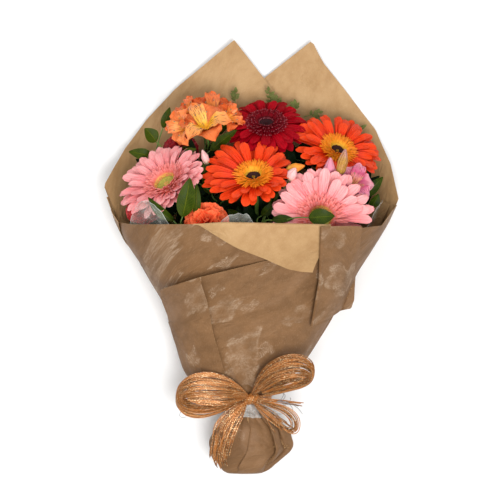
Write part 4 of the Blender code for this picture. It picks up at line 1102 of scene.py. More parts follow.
@dataclass(frozen=True)
class LeafSkin:
    """Leaf with a pale midrib, side veins that slant to the tip, and a waxy sheen."""

    name: str
    dark: Colour
    pale: Colour
    rib: Colour
    gloss: float = 0.36

    def make(self) -> Material:
        """The side veins are a sine of the place along the leaf plus the distance from its midrib.

        Returns:
            The material.
        """
        m = Mixture(self.name)
        u, v = m.parts(m.places("UV"))
        off = m.math("ABSOLUTE", m.minus(u, 0.5))
        slant = m.minus(m.times(v, 78.0), m.times(off, 34.0))
        side = m.between(m.math("SINE", slant), 0.72, 1.0)
        middle = m.between(off, 0.012, 0.045, 1.0, 0.0)
        mottle = m.noise(m.places("Object"), 160, 3)
        colour = m.mix(m.between(mottle, 0.32, 0.68), self.dark, self.pale)
        colour = m.mix(m.times(m.tone(), 0.45), colour, self.pale)
        colour = m.mix(m.times(side, 0.28), colour, self.rib)
        colour = m.mix(m.times(middle, 0.75), colour, self.rib)
        edge = m.between(off, 0.44, 0.5, 0.0, 0.25)
        colour = m.mix(edge, colour, self.rib)
        m.bump(m.plus(m.times(side, -0.6), m.times(middle, -1.0)), 0.00035)
        return m.done(
            colour, m.between(mottle, 0.3, 0.7, self.gloss, self.gloss + 0.16), Subsurface_Weight=0.08,
            Subsurface_Radius=(0.3, 0.8, 0.15), Subsurface_Scale=0.0012, Specular_IOR_Level=0.1,
        )


@dataclass(frozen=True)
class Grain:
    """Fleshy surface with soft lengthwise lines and grains, for stems, buds, cups, discs and anthers."""

    name: str
    dark: Colour
    pale: Colour
    rough: float = 0.5
    lines: float = 14.0
    grain: float = 900.0
    relief: float = 0.00025

    def make(self) -> Material:
        """Lines are noise stretched along the second texture coordinate; grains are fine noise in space.

        Returns:
            The material.
        """
        m = Mixture(self.name)
        lines = m.noise(m.places("UV", (self.lines, 2.0, 1)), 1.0, 2)
        grain = m.noise(m.places("Object"), self.grain, 2)
        both = m.plus(m.times(lines, 0.6), m.times(grain, 0.4))
        colour = m.mix(m.between(both, 0.36, 0.64), self.dark, self.pale)
        colour = m.mix(m.times(m.tone(), 0.4), colour, self.pale)
        m.bump(both, self.relief)
        return m.done(colour, m.between(grain, 0.3, 0.7, self.rough, self.rough + 0.15), Specular_IOR_Level=0.4)


def front_share(angle: Array) -> Array:
    """Layer of the outer sheet: near the inner one behind, over the collar in front."""
    share = np.clip(1 - (angle - 1.25) / 0.7, 0.0, 1.0)
    return OUTER_BACK_LAYER + (OUTER_FRONT_LAYER - OUTER_BACK_LAYER) * share


@dataclass
class PaperWrap:
    """The kraft paper: inner sheet with pouch and collar, outer sheet with its pleat, and front band."""

    around: int = 190
    cone_rows: int = 86
    pouch_rows: int = 46
    roll_steps: int = 7
    # Angles of the peaks, and the first and last angle of the collar and of the outer sheet's back, in degrees
    inner_peak: float = 184.6
    outer_peak: float = 165.07
    collar_span: tuple[float, float] = (-24.6, 35)
    outer_span: tuple[float, float] = (110, 284)
    printed: Material = field(init=False)
    plain: Material = field(init=False)

    def __post_init__(self) -> None:
        """Mixes the two faces of the paper."""
        self.printed = KraftPaper(Side.PRINTED).make()
        self.plain = KraftPaper(Side.PLAIN).make()

    def angles(self, first: float, last: float, *kept: float) -> Array:
        """Even angles from first to last in degrees, with those of kept put in."""
        count = max(4, int(self.around * (last - first) / 360))
        return np.radians(np.unique(np.concatenate((np.linspace(first, last, count), kept))))

    def raised(self, angle_at: Reading, layer_at: Reading, back_edge: EdgeLine, count: int) -> Array:
        """The y at which lines up the paper meet the cut edge.

        Args:
            angle_at: Gives each line's angle at its y.
            layer_at: Gives each line's layer at its angle.
            back_edge: The edge of the back.
            count: How many lines.

        Returns:
            One y for each line.
        """

        def below(y: Array) -> Array:
            """Whether each line is still below the edge at its y.

            Args:
                y: One y for each line.

            Returns:
                True where it is.
            """
            angle = angle_at(y)
            x = FORM.place(angle, y, layer_at(angle))[..., 0]
            return y < np.where(np.cos(angle) >= 0, read_edge(FRONT_EDGE, x), read_edge(back_edge, x))

        return meeting(below, count)

    def lay(self, piece: Piece, grid: Array, shift: Sequence[float] = (0, 0), round_trip: bool = False) -> None:
        """Adds one sheet of paper, printed outside and bare inside, its print moved by shift."""
        piece.sheets(grid[None], PAPER, metric_uv(grid) + shift, slots=(0, 1), round_trip=round_trip)

    def finished(self, piece: Piece, node: str) -> None:
        """Builds a piece of paper."""
        piece.build((self.printed, self.plain), node)

    def inner(self) -> None:
        """Builds the inner sheet: closed pouch, neck and cone, with rows from the neck to the cut edge."""
        angle = self.angles(-90, 270, self.inner_peak)
        tops = self.raised(lambda y: angle, np.zeros_like, INNER_BACK_EDGE, len(angle))
        share = np.linspace(0, 1, self.cone_rows) ** 1.15
        cone = NECK_Y + (tops[:, None] - NECK_Y) * share
        t = np.linspace(0, 1, self.pouch_rows)[:-1]
        pouch = POUCH_FOOT_Y + (NECK_Y - POUCH_FOOT_Y) * (t + 0.1 * np.sin(np.pi * t) ** 2)
        y = np.concatenate((np.broadcast_to(pouch, (len(angle), len(t))), cone), axis=1)
        grid = FORM.place(angle[:, None], y, 0.0)
        foot = grid[:, :1].mean(axis=0, keepdims=True)
        closing = foot + (grid[:, :1] - foot) * np.array((0.02, 0.55))[None, :, None]
        closing[..., 1] -= np.array((0.0004, 0.0002))
        grid = np.concatenate((closing, grid), axis=1)
        piece = Piece("inner_paper")
        self.lay(piece, grid, round_trip=True)
        self.finished(piece, "paper_inner_sheet")

    def collar(self) -> None:
        """Builds the collar, which rolls over the lip by a half circle and runs down to its slanting edge."""
        angle = self.angles(*self.collar_span)
        top = self.raised(lambda y: angle, np.zeros_like, INNER_BACK_EDGE, len(angle))
        x = FORM.place(angle, top, 0.0)[:, 0]
        foot = np.minimum(read_edge(COLLAR_EDGE, x), top - 0.0006)
        depth = top - foot
        layer = COLLAR_LAYER * ease(depth, -0.006, 0.02)
        turn = np.pi * np.arange(self.roll_steps + 1) / self.roll_steps
        roll_layer = layer[:, None] * (1 - np.cos(turn)) / 2
        roll_y = top[:, None] + layer[:, None] * 0.42 * np.sin(turn)
        t = np.linspace(0, 1, 24)[1:]
        run_y = top[:, None] - depth[:, None] * t
        run_layer = layer[:, None] * (1.0 + 0.05 * np.sin(np.pi * t)) + 0.0004 * t
        y, layer = (np.concatenate(pair, axis=1) for pair in ((roll_y, run_y), (roll_layer, run_layer)))
        grid = FORM.place(angle[:, None], y, layer)
        piece = Piece("paper_collar")
        self.lay(piece, grid)
        self.finished(piece, "paper_inner_sheet")

    def outer(self) -> None:
        """Builds the outer sheet, from the pleat's fold round the right side and the back past the left crease.

        On the front it is a flap that ends at a slanting lower edge; behind, it runs down to the neck.
        """
        joint, end = self.outer_span
        fixed = self.angles(joint, end, self.outer_peak)
        lead = np.linspace(0, 1, 36)[:-1]
        share = np.concatenate((lead, np.ones(len(fixed))))
        fixed_all = np.concatenate((np.full(len(lead), fixed[0]), fixed))

        def angle_at(y: Array) -> Array:
            """Angle of each line at its y. Towards the left crease the sheet is drawn back below its top.

            Args:
                y: One y for each line, or rows of them.

            Returns:
                Angles in y's shape.
            """
            start = over_edge(y, STRIP_LEFT, OUTER_FRONT_LAYER)
            goal = beside(fixed_all, y)
            drawn_back = np.radians(27) * (1 - ease(y, -0.03, 0.012))
            drawn_back = drawn_back * ease(goal, np.radians(190), np.radians(end))
            return start + (goal - drawn_back - start) * beside(share, y)

        tops = self.raised(angle_at, front_share, OUTER_BACK_EDGE, len(share))
        flap_first, flap_last = FLAP_LOWER_EDGE[0][0], FLAP_LOWER_EDGE[-1][0]
        around = np.concatenate((flap_first + (joint - flap_first) * lead, np.degrees(fixed)))
        feet = np.where(around > flap_last, NECK_Y, read_edge(FLAP_LOWER_EDGE, around))
        rows = np.linspace(0, 1, self.cone_rows + 10) ** 1.1
        y = feet[:, None] + (tops - feet)[:, None] * rows
        angle = angle_at(y)
        grid = FORM.place(angle, y, front_share(angle))
        piece = Piece("outer_paper")
        self.lay(piece, grid)
        self.pleat(piece)
        self.finished(piece, "paper_outer_sheet")

    def pleat(self, piece: Piece) -> None:
        """Adds the pleat: a fold at the strip's left edge, then the strip over the front to its right edge.

        Args:
            piece: Takes the pleat.
        """
        rows, columns, layer, lift = 60, 26, OUTER_FRONT_LAYER, 0.0052
        start = over_edge(np.array([0.002]), STRIP_LEFT, layer)
        top_y = self.raised(lambda y: start, front_share, OUTER_BACK_EDGE, 1)[0]
        part = np.concatenate((np.zeros(5), np.linspace(0, 1, columns)[1:]))
        foot = read_edge(STRIP_FOOT, part)
        y = foot + (top_y - foot) * np.linspace(0, 1, rows)[:, None]
        left = read_edge(STRIP_LEFT, y)
        x = left + (read_edge(STRIP_RIGHT, y) - left) * part
        limit = (FORM.section(y)[1] + layer) * 0.985
        puff = 0.0016 * np.sin(np.pi * part) + 0.0056 * ease(part, 0.5, 1.0)
        angle = FORM.angle_over(np.minimum(x, limit), y, layer)
        strip = FORM.place(angle, y, layer + (lift + puff) * (part > 0))
        strip[..., 0] = x
        strip[..., 1] += 0.0012 * np.sin((x - left) * 60.0) * ease(y, -0.03, 0.0)
        fold = np.pi * np.arange(5) / 4
        strip[:, :5, 0] -= lift / 2 * np.sin(fold)
        strip[:, :5, 2] += lift / 2 * (1 - np.cos(fold))
        grid = strip.transpose(1, 0, 2)
        self.lay(piece, grid, (0.19, 0.07))

    def flare(self, angle: Array, y: Array, rows: Array) -> Array:
        """How far the band's top stands off: an eased rise over its upper quarter, gone at both ends.

        Args:
            angle: Angles round the wrap.
            y: Places along it.
            rows: Share of the way up for each place.

        Returns:
            Distances in metres.
        """
        x = FORM.place(angle, y, BAND_LAYER)[..., 0]
        ends = (1 - ease(x, -0.034, 0.016)) * ease(angle, -1.66, -1.4)
        return BAND_FLARE * ease(rows, 0.72, 1.0) ** 1.3 * ends

    def band_first(self, y: Array) -> Array:
        """Angle of the band's left side: a free edge on the front near its top, and past the crease below."""
        return over_edge(y, BAND_LEFT, BAND_LAYER) - np.radians(8) * (1 - ease(y, -0.1265, -0.108))

    def band(self) -> None:
        """Builds the front band, a lap of paper across the cone's front with a hem folded over at its left."""
        share = np.linspace(0, 1, 132)
        last = np.radians(BAND_LAST_ANGLE)

        def angle_at(y: Array) -> Array:
            """Angle of each line at its y."""
            first = self.band_first(y)
            return first + (last - first) * beside(share, y)

        def below(y: Array) -> Array:
            """Whether each line is still below the band's top edge at its y."""
            return y < read_edge(BAND_TOP_EDGE, FORM.place(angle_at(y), y, BAND_LAYER)[..., 0])

        top = meeting(below, len(share), 0.0)
        rows = np.linspace(0, 1, 78)
        y = NECK_Y + (top[:, None] - NECK_Y) * rows
        angle = angle_at(y)
        grid = FORM.place(angle, y, BAND_LAYER + self.flare(angle, y, rows))
        piece = Piece("front_band_paper")
        self.lay(piece, grid, (0.37, 0.21))
        self.lay(piece, self.hem(rows), (0.61, 0.43))
        self.finished(piece, "paper_front_band")

    def hem(self, rows: Array) -> Array:
        """The band's hem: a fold at its left edge, then paper that lies over it and opens to its right edge.

        Args:
            rows: Shares of the way from the neck to the top edge.

        Returns:
            Points with axes (across, along, 3).
        """
        part = np.linspace(0, 1, 30)[:, None]
        y = NECK_Y + (-0.06 - NECK_Y) * rows[None] + 0.0 * part
        for _ in range(12):
            angle = self.band_first(y) + (over_edge(y, HEM_RIGHT, BAND_LAYER) - self.band_first(y)) * part
            ends = read_edge(BAND_TOP_EDGE, FORM.place(angle[:, -1], y[:, -1], BAND_LAYER)[..., 0])
            y = NECK_Y + (0.5 * (ends + y[:, -1])[:, None] - NECK_Y) * rows[None]
        y = y - 0.0006 * ease(rows, 0.9, 1.0)
        layer = BAND_LAYER + self.flare(angle, y, rows)
        lift = (0.0014 + 0.0036 * part**2 + 0.0012 * np.sin(np.pi * part)) * ease(y, NECK_Y, NECK_Y + 0.04)
        fold = np.pi * np.arange(4)[:, None] / 4
        bend = lift[:1, :, None] / 2 * joined(-np.sin(fold), 0.0, 1 - np.cos(fold))
        start = FORM.place(angle[:1], y[:1], layer[:1])
        return np.concatenate((start + bend, FORM.place(angle, y, layer + lift)), axis=0)

    def make(self) -> None:
        """Builds all the sheets."""
        self.inner()
        self.collar()
        self.outer()
        self.band()


@dataclass
class ClearWrap:
    """The clear film inside the paper, and the clear tape round the pouch's top."""

    # Where the film stands above the lip: x, height and half width
    bumps: tuple[Point, ...] = ((-0.11, 0.029, 0.02), (-0.014, 0.019, 0.019), (0.146, 0.036, 0.016))
    rows: int = 40
    foot_y: float = -0.05
    film_thickness: float = 0.00012
    tape_thickness: float = 0.00025

    def film(self) -> None:
        """Builds the sleeve's front, whose crumpled top stands above the lip where the bumps are."""
        angle = np.radians(np.linspace(-83, 87, 156))
        top = FORM.top(angle, FRONT_EDGE, FILM_LAYER) - 0.006
        x = FORM.place(angle, top, FILM_LAYER)[:, 0]
        rise = sum(h * np.exp(-(((x - c) / w) ** 4)) for c, h, w in self.bumps)
        rise = rise * (0.9 + 0.3 * np.abs(soft_noise(x[:, None] * np.ones(2), 0.009, 2)))
        v = np.linspace(0, 1, self.rows)
        y = self.foot_y + v * (top + rise - self.foot_y)[:, None]
        layer = FILM_LAYER - 0.004 * rise[:, None] / 0.02 * v
        grid = FORM.place(angle[:, None], y, layer)
        above = ease(y - top[:, None], -0.004, 0.012)
        rough = soft_noise(grid[..., :2], 0.013, 4) + 0.6 * np.abs(soft_noise(grid[..., :2], 0.007, 9))
        crumple = 0.0021 * above * rough
        grid[..., 2] += crumple - 0.0012 * above
        grid[..., 1] += 0.5 * crumple
        piece = Piece("clear_film_sleeve")
        piece.sheets(grid[None], self.film_thickness, metric_uv(grid))
        # A thin pale tube along the film's top edge: painted highlight where the edge catches the light
        piece.tubes(grid[None, :, -1], 0.0003, 5, (0.0, 0.3, 1.0), 0.5, 1)
        film, rim = ClearFilm("clear_film", 0.15), ClearFilm("clear_film_rim_painted_highlight", 0.34, (0.84, 0.84, 0.79))
        piece.build((film.make(), rim.make()), "cellophane_sleeve")

    def tape(self) -> None:
        """Builds the clear tape as one band round the gathered paper, with small folds."""
        angle = np.radians(np.linspace(-90, 270, 120))
        y = np.linspace(-0.2125, -0.1975, 14)
        wave = 0.0005 * np.cos(7 * angle + 1.0) + 0.0003 * np.cos(19 * angle)
        layer = 0.0034 + 0.0005 * np.sin(np.linspace(0, 3 * np.pi, 14)) + wave[:, None] * 0.5
        grid = FORM.place(angle[:, None], y + wave[:, None] * 1.2, layer)
        grid[-1] = grid[0]
        piece = Piece("clear_neck_tape")
        piece.sheets(grid[None], self.tape_thickness, metric_uv(grid), round_trip=True)
        tape = ClearFilm("clear_tape", 0.38, (0.72, 0.7, 0.66)).make()
        piece.build((tape,), "neck_tape")

    def make(self) -> None:
        """Builds the film and the tape."""
        self.film()
        self.tape()


@dataclass(frozen=True)
class Ribbon:
    """One length of ribbon: the lines of its two edges, its strands, and how far they swell out and fray."""

    first: tuple[Point, ...]
    second: tuple[Point, ...]
    strands: int
    layers: int = 2
    swell: float = 0.003
    fray: float = 0.0
    radius: float = 0.00052


LEFT_LOOP = Ribbon(
    ((0.0, -0.1885, 0.058), (-0.0101, -0.1767, 0.068), (-0.0224, -0.1673, 0.075), (-0.0369, -0.1621, 0.079),
     (-0.0525, -0.1608, 0.081), (-0.0681, -0.1649, 0.079), (-0.0794, -0.1751, 0.075), (-0.0829, -0.1877, 0.071),
     (-0.0808, -0.2003, 0.067), (-0.0708, -0.2095, 0.064), (-0.054, -0.2118, 0.062), (-0.0337, -0.2064, 0.06),
     (-0.0158, -0.1976, 0.057), (0.0, -0.191, 0.054)),
    ((0.0, -0.1895, 0.059), (-0.0112, -0.186, 0.074), (-0.0234, -0.185, 0.083), (-0.0378, -0.185, 0.088),
     (-0.0523, -0.185, 0.09), (-0.0646, -0.1856, 0.088), (-0.0715, -0.1872, 0.083), (-0.0735, -0.189, 0.077),
     (-0.0715, -0.1906, 0.071), (-0.064, -0.1915, 0.067), (-0.0505, -0.1922, 0.064), (-0.0337, -0.1925, 0.061),
     (-0.0158, -0.192, 0.057), (0.0, -0.191, 0.0545)),
    33,
)
RIGHT_LOOP = Ribbon(
    ((0.0011, -0.1874, 0.058), (0.0056, -0.1731, 0.072), (0.0134, -0.1589, 0.086), (0.0255, -0.1474, 0.095),
     (0.041, -0.1405, 0.1), (0.0565, -0.1404, 0.101), (0.0677, -0.1472, 0.098), (0.0711, -0.1586, 0.093),
     (0.069, -0.1689, 0.087), (0.0603, -0.1759, 0.081), (0.0448, -0.1808, 0.073), (0.0247, -0.1859, 0.063),
     (0.0023, -0.191, 0.054)),
    ((0.0023, -0.1884, 0.059), (0.0112, -0.1796, 0.076), (0.0211, -0.1705, 0.089), (0.0322, -0.165, 0.096),
     (0.0432, -0.1622, 0.099), (0.0543, -0.1614, 0.099), (0.061, -0.1627, 0.096), (0.0634, -0.1654, 0.09),
     (0.0602, -0.169, 0.084), (0.0525, -0.1725, 0.079), (0.0392, -0.1765, 0.072), (0.0225, -0.1835, 0.063),
     (0.0023, -0.1909, 0.055)),
    27,
)
INSIDE_RIGHT_LOOP = Ribbon(
    ((0.012, -0.18, 0.064), (0.0279, -0.169, 0.08), (0.039, -0.164, 0.085), (0.0512, -0.1622, 0.086),
     (0.0613, -0.164, 0.085)),
    ((0.014, -0.185, 0.06), (0.0325, -0.1799, 0.07), (0.0447, -0.1773, 0.076), (0.0558, -0.1737, 0.08),
     (0.0635, -0.169, 0.084)),
    27, 2, -0.002,
)
SMALL_LOOP = Ribbon(
    ((0.002, -0.191, 0.057), (0.0225, -0.1945, 0.062), (0.0428, -0.2005, 0.066), (0.054, -0.211, 0.066),
     (0.055, -0.224, 0.063), (0.0482, -0.2298, 0.059), (0.0371, -0.2235, 0.057), (0.0225, -0.211, 0.057),
     (0.0056, -0.1975, 0.055)),
    ((0.002, -0.192, 0.0575), (0.0203, -0.1985, 0.063), (0.0371, -0.2065, 0.067), (0.045, -0.2145, 0.0665),
     (0.0462, -0.2208, 0.0635), (0.0415, -0.2218, 0.06), (0.0326, -0.2165, 0.058), (0.0203, -0.207, 0.0575),
     (0.0056, -0.197, 0.0555)),
    12, 1, 0.0015,
)
INSIDE_LEFT_LOOP = Ribbon(
    ((-0.006, -0.1885, 0.061), (-0.0234, -0.1815, 0.076), (-0.04, -0.18, 0.08), (-0.056, -0.181, 0.08),
     (-0.07, -0.185, 0.076)),
    ((-0.007, -0.1905, 0.059), (-0.0234, -0.1945, 0.069), (-0.04, -0.196, 0.072), (-0.056, -0.195, 0.073),
     (-0.07, -0.191, 0.073)),
    30, 1, 0.001,
)
LEFT_TAIL = Ribbon(
    ((-0.0045, -0.192, 0.058), (-0.0157, -0.1972, 0.0625), (-0.027, -0.206, 0.065), (-0.0371, -0.219, 0.0655),
     (-0.0425, -0.2366, 0.063), (-0.0439, -0.253, 0.059), (-0.0385, -0.269, 0.053)),
    ((-0.0023, -0.1935, 0.058), (-0.006, -0.2029, 0.062), (-0.0105, -0.214, 0.065), (-0.016, -0.2274, 0.0655),
     (-0.0205, -0.2411, 0.0635), (-0.024, -0.2548, 0.06), (-0.0262, -0.265, 0.056)),
    21, 2, 0.002, 0.007,
)
RIGHT_TAIL = Ribbon(
    ((0.0023, -0.1897, 0.057), (0.0135, -0.1894, 0.062), (0.027, -0.1904, 0.064), (0.0405, -0.192, 0.063),
     (0.0517, -0.1932, 0.061), (0.0606, -0.1948, 0.059)),
    ((0.003, -0.1925, 0.057), (0.0135, -0.193, 0.06), (0.027, -0.1945, 0.062), (0.0395, -0.1962, 0.061),
     (0.05, -0.1975, 0.059), (0.058, -0.199, 0.057)),
    8, 1, 0.001, 0.004,
)
LOWER_TAIL = Ribbon(
    ((0.004, -0.1935, 0.056), (0.015, -0.199, 0.06), (0.027, -0.206, 0.0625), (0.038, -0.214, 0.062),
     (0.05, -0.223, 0.059)),
    ((0.003, -0.1945, 0.056), (0.0095, -0.204, 0.06), (0.018, -0.213, 0.062), (0.028, -0.223, 0.06),
     (0.04, -0.233, 0.057)),
    14, 1, 0.0015, 0.009,
)


@dataclass
class RibbonBow:
    """The bow of copper strands round the neck: loops, tails, a knot and loose threads."""

    ribbons: tuple[Ribbon, ...] = (
        LEFT_LOOP, RIGHT_LOOP, INSIDE_LEFT_LOOP, INSIDE_RIGHT_LOOP,
        SMALL_LOOP, LEFT_TAIL, RIGHT_TAIL, LOWER_TAIL,
    )
    steps: int = 46
    ring: Point = (-0.0002, -0.1925, 0.03)
    ring_half: tuple[float, float] = (0.0238, 0.0222)
    ring_width: float = 0.007
    ring_turns: int = 8
    knot_turns: int = 15
    turn_radius: float = 0.0008
    threads_right: int = 7
    threads_left: int = 3
    thread_radius: float = 0.0003
    knot: Point = (0.0005, -0.1905, 0.056)

    def strands(self, ribbon: Ribbon, rng: Random) -> Array:
        """Strands side by side between the ribbon's edges, in layers, each wandering a little.

        A strand's line is a mixture of the two edges' lines, moved along the ribbon's normal by half a sine
        across it. The normal is the cross product of the ribbon's course and its width, turned away from the
        loop's middle.

        Args:
            ribbon: The length of ribbon.
            rng: Seeded numbers.

        Returns:
            Points with axes (strand, along, 3).
        """
        first, second = (smooth_path(np.array(edge), self.steps) for edge in (ribbon.first, ribbon.second))
        many = ribbon.strands * ribbon.layers
        place = np.tile(np.linspace(0, 1, ribbon.strands), ribbon.layers)
        place = np.clip(place + rng.uniform(-0.5, 0.5, many) / ribbon.strands, 0, 1)[:, None]
        level = np.repeat(np.arange(ribbon.layers), ribbon.strands)[:, None]
        share = np.linspace(0, 1, self.steps)
        spots = joined(share * 0.06, np.arange(many)[:, None] * 0.37)
        wander, lift = soft_noise(spots, 0.016, 6), soft_noise(spots, 0.02, 16)
        middle = (first + second) / 2
        normal = unit(np.cross(np.gradient(middle, axis=0), second - first + 1e-6))
        outward = middle[self.steps // 2] - middle.mean(axis=0) if not ribbon.fray else np.array((0, 0, 1.0))
        normal *= np.sign(normal[self.steps // 2] @ outward)
        loose = np.sin(np.pi * np.minimum(share, 1.0 if not ribbon.fray else 0.6))
        place = np.clip(place + 0.17 * wander * loose, -0.06, 1.06)[..., None]
        out = ribbon.swell * np.sin(np.pi * np.clip(place[..., 0], 0, 1)) * np.sin(np.pi * share) ** 0.5
        out = out - level * 0.0013 * np.sin(np.pi * share) ** 0.3 + 0.0016 * lift * loose
        out = out + rng.uniform(-0.0011, 0.0011, (many, 1)) * loose
        points = first * (1 - place) + second * place + normal * out[..., None]
        if ribbon.fray:
            away = rng.uniform(-1, 1, (many, 1, 3)) * ribbon.fray * np.array((0.6, 0.6, 0.25))
            points = points + away * (share**3)[None, :, None]
            index = share[None] * rng.uniform(0.8, 1.0, many)[:, None] * (self.steps - 1)
            base = np.minimum(index.astype(int), self.steps - 2)
            part = (index - base)[..., None]
            rows = np.arange(many)[:, None]
            points = points[rows, base] * (1 - part) + points[rows, base + 1] * part
        return points

    def windings(self, rng: Random) -> Array:
        """Strands wound round the neck, as ellipses in planes across Y.

        Args:
            rng: Seeded numbers.

        Returns:
            Points with axes (strand, along, 3).
        """
        turn = np.linspace(0, 2 * np.pi, self.steps)
        row = np.linspace(-0.5, 0.5, self.ring_turns)[:, None] * self.ring_width
        y = self.ring[1] + row + 0.0005 * np.sin(turn + 1.3)
        swell = 1 + 0.0006 / 0.02 * rng.uniform(-1, 1, self.ring_turns)[:, None]
        x = self.ring[0] + self.ring_half[0] * swell * np.sin(turn)
        z = self.ring[2] + self.ring_half[1] * swell * np.cos(turn)
        return joined(x, y, z)

    def knotted(self, rng: Random) -> Array:
        """Strands laid over the knot: arcs over an egg, slanting, closer together at its sides.

        Args:
            rng: Seeded numbers.

        Returns:
            Points with axes (strand, along, 3).
        """
        count = self.knot_turns
        turn = np.linspace(-0.6 * np.pi, 0.6 * np.pi, self.steps)
        width = np.linspace(-1, 1, count)[:, None] + rng.uniform(-0.05, 0.05, (count, 1))
        bulge = np.sqrt(np.maximum(0.05, 1 - 0.8 * width**2))
        x = self.knot[0] + 0.0088 * width * (0.62 + 0.38 * np.cos(turn)) + 0.0034 * np.sin(turn)
        y = self.knot[1] + 0.0066 * np.sin(turn) * bulge
        z = self.knot[2] + 0.0078 * np.cos(turn) * bulge - 0.001
        return joined(x, y, z)

    def loose(self, rng: Random) -> Array:
        """Fine grey threads in open curls, to the right of the knot and at the left loop's end.

        Args:
            rng: Seeded numbers.

        Returns:
            Points with axes (thread, along, 3).
        """
        many = self.threads_right + self.threads_left
        right = np.arange(many) < self.threads_right
        start = np.where(right[:, None], (0.03, -0.1935, 0.064), (-0.074, -0.203, 0.064))
        way = np.where(right, 1.0, -1.0)[:, None]
        span = np.linspace(0, 1, self.steps)
        reach = np.where(right[:, None], rng.uniform(0.024, 0.038, (many, 1)), 0.012)
        turn = rng.uniform(-0.5, 0.5, (many, 1)) + span * rng.uniform(-3.4, 3.4, (many, 1))
        off = [rng.uniform(-far, far, (many, 1)) * span for far in (0.004, 0.008)]
        x = start[:, :1] + way * reach * span * np.cos(turn * 0.7) + off[0]
        y = start[:, 1:2] + reach * 0.45 * np.sin(turn) * span + off[1]
        z = start[:, 2:] + 0.004 * np.sin(3 * span + turn) - 0.006 * span
        return joined(x, y, z)

    def make(self) -> None:
        """Builds the bow as one piece, with the copper and the grey finish."""
        rng = np.random.default_rng(11)
        piece = Piece("copper_bow")
        for ribbon in self.ribbons:
            paths = self.strands(ribbon, rng)
            piece.tubes(paths, ribbon.radius, 5, (0.02, 0.31, 0.95), rng.uniform(0.0, 1.0, len(paths)))
        piece.tubes(self.windings(rng), self.turn_radius, 6, (0, 1, 0), rng.uniform(0.2, 0.9, self.ring_turns))
        piece.tubes(self.knotted(rng), self.turn_radius, 6, (1, 0, 0), rng.uniform(0.2, 0.9, self.knot_turns))
        piece.tubes(self.loose(rng), self.thread_radius, 4, (0.1, 0.2, 0.97), 0.5, 1)
        # The grey threads' last colour is their painted highlight
        grey = CopperStrand("grey_thread", (0.2, 0.2, 0.21), (0.42, 0.42, 0.44), (0.9, 0.9, 0.92), 0.5)
        piece.build((CopperStrand().make(), grey.make()), "ribbon_bow")


@dataclass
class Stems:
    """The stems' common course: through the neck and the pouch to their cut ends."""

    slots: dict[str, tuple[float, float]] = field(default_factory=lambda: {
        "foliage_front_left": (-0.0044, 0.009), "carnation_orange": (0.0, 0.009),
        "foliage_front_right": (0.0044, 0.009), "gerbera_pink_left": (-0.0078, 0.0046),
        "gerbera_orange_centre": (-0.0026, 0.0046), "alstroemeria_small": (0.0026, 0.0046),
        "gerbera_pink_right": (0.0077, 0.0046), "carnation_red_front": (-0.0121, 0.0),
        "foliage_deep_left": (-0.0066, 0.0), "foliage_middle": (-0.0018, 0.0),
        "foliage_deep_right": (0.003, 0.0), "alstroemeria_pink": (0.0074, 0.0),
        "foliage_right": (0.0118, 0.0), "foliage_left": (-0.0092, -0.0048),
        "alstroemeria_orange": (-0.0044, -0.0048), "gerbera_red": (0.0006, -0.0048),
        "gerbera_orange_right": (0.0062, -0.0048), "carnation_red_back": (-0.0048, -0.0094),
        "sprig_back": (0.001, -0.0094),
    })
    neck_z: float = 0.03
    cut_y: float = -0.264
    cut_spread: float = 1.5

    def line(self, name: str, top: Sequence[float], direction: Sequence[float], count: int = 40) -> Array:
        """A stem's line: straight through the neck, then a cubic Bezier curve into its head.

        Args:
            name: Whose place in the neck it takes.
            top: Its upper end.
            direction: Its direction there.
            count: Points of the curve.

        Returns:
            Points from the cut end up.
        """
        x, z = self.slots[name]
        cut = np.array((x * self.cut_spread, self.cut_y, self.neck_z + z * self.cut_spread - 0.002))
        below = np.array((x, NECK_Y - 0.006, self.neck_z + z))
        neck = np.array((x, NECK_Y + 0.004, self.neck_z + z))
        top, direction = np.asarray(top, float), unit(np.asarray(direction, float))
        reach = np.linalg.norm(top - neck)
        first = neck + unit(np.array((0, 1.0, 0)) + 0.35 * unit(top - neck)) * 0.33 * reach
        second = top - direction * 0.3 * reach
        second[2] = max(second[2], 0.3 * top[2] + 0.009)
        t = np.linspace(0, 1, count)[:, None]
        curve = (1 - t) ** 3 * neck + 3 * t * (1 - t) ** 2 * first + 3 * t * t * (1 - t) * second + t**3 * top
        down = np.linspace(0, 1, 7)[:-1, None]
        return np.concatenate((cut + (below - cut) * down, below[None], curve))


STEMS = Stems()


def clears_paper(points: Array, inside: float = 0.0065, outside: float = 0.0165) -> Array:
    """Whether points are inside the paper's front, above its edge, or beyond it.

    Args:
        points: Points with the coordinates in the last axis.
        inside: How far below the paper a point is clear of it.
        outside: How far above the paper a point is clear of it.

    Returns:
        True for each clear point.
    """
    x, y, z = np.moveaxis(points, -1, 0)
    left, right = FORM.section(y)[:2]
    surface = FORM.place(FORM.angle_over(x, y, 0.0), y, 0.0)[..., 2]
    beyond = (x < left) | (x > right) | (y > read_edge(FRONT_EDGE, x) + 0.004)
    return beyond | (z < surface - inside) | (z > surface + outside)


@dataclass(frozen=True)
class RayLayer:
    """One layer of a gerbera's long petals, its lift in degrees and its turn in petals."""

    count: int
    radius: float
    height: float
    lift: float
    width: float
    turn: float


# How far a long petal may drop to clear the paper, in degrees, and the share of its length that it then keeps
DROPS = ((0, 1.0), (6, 1.0), (12, 1.0), (18, 0.95), (24, 0.85), (30, 0.7), (36, 0.55))


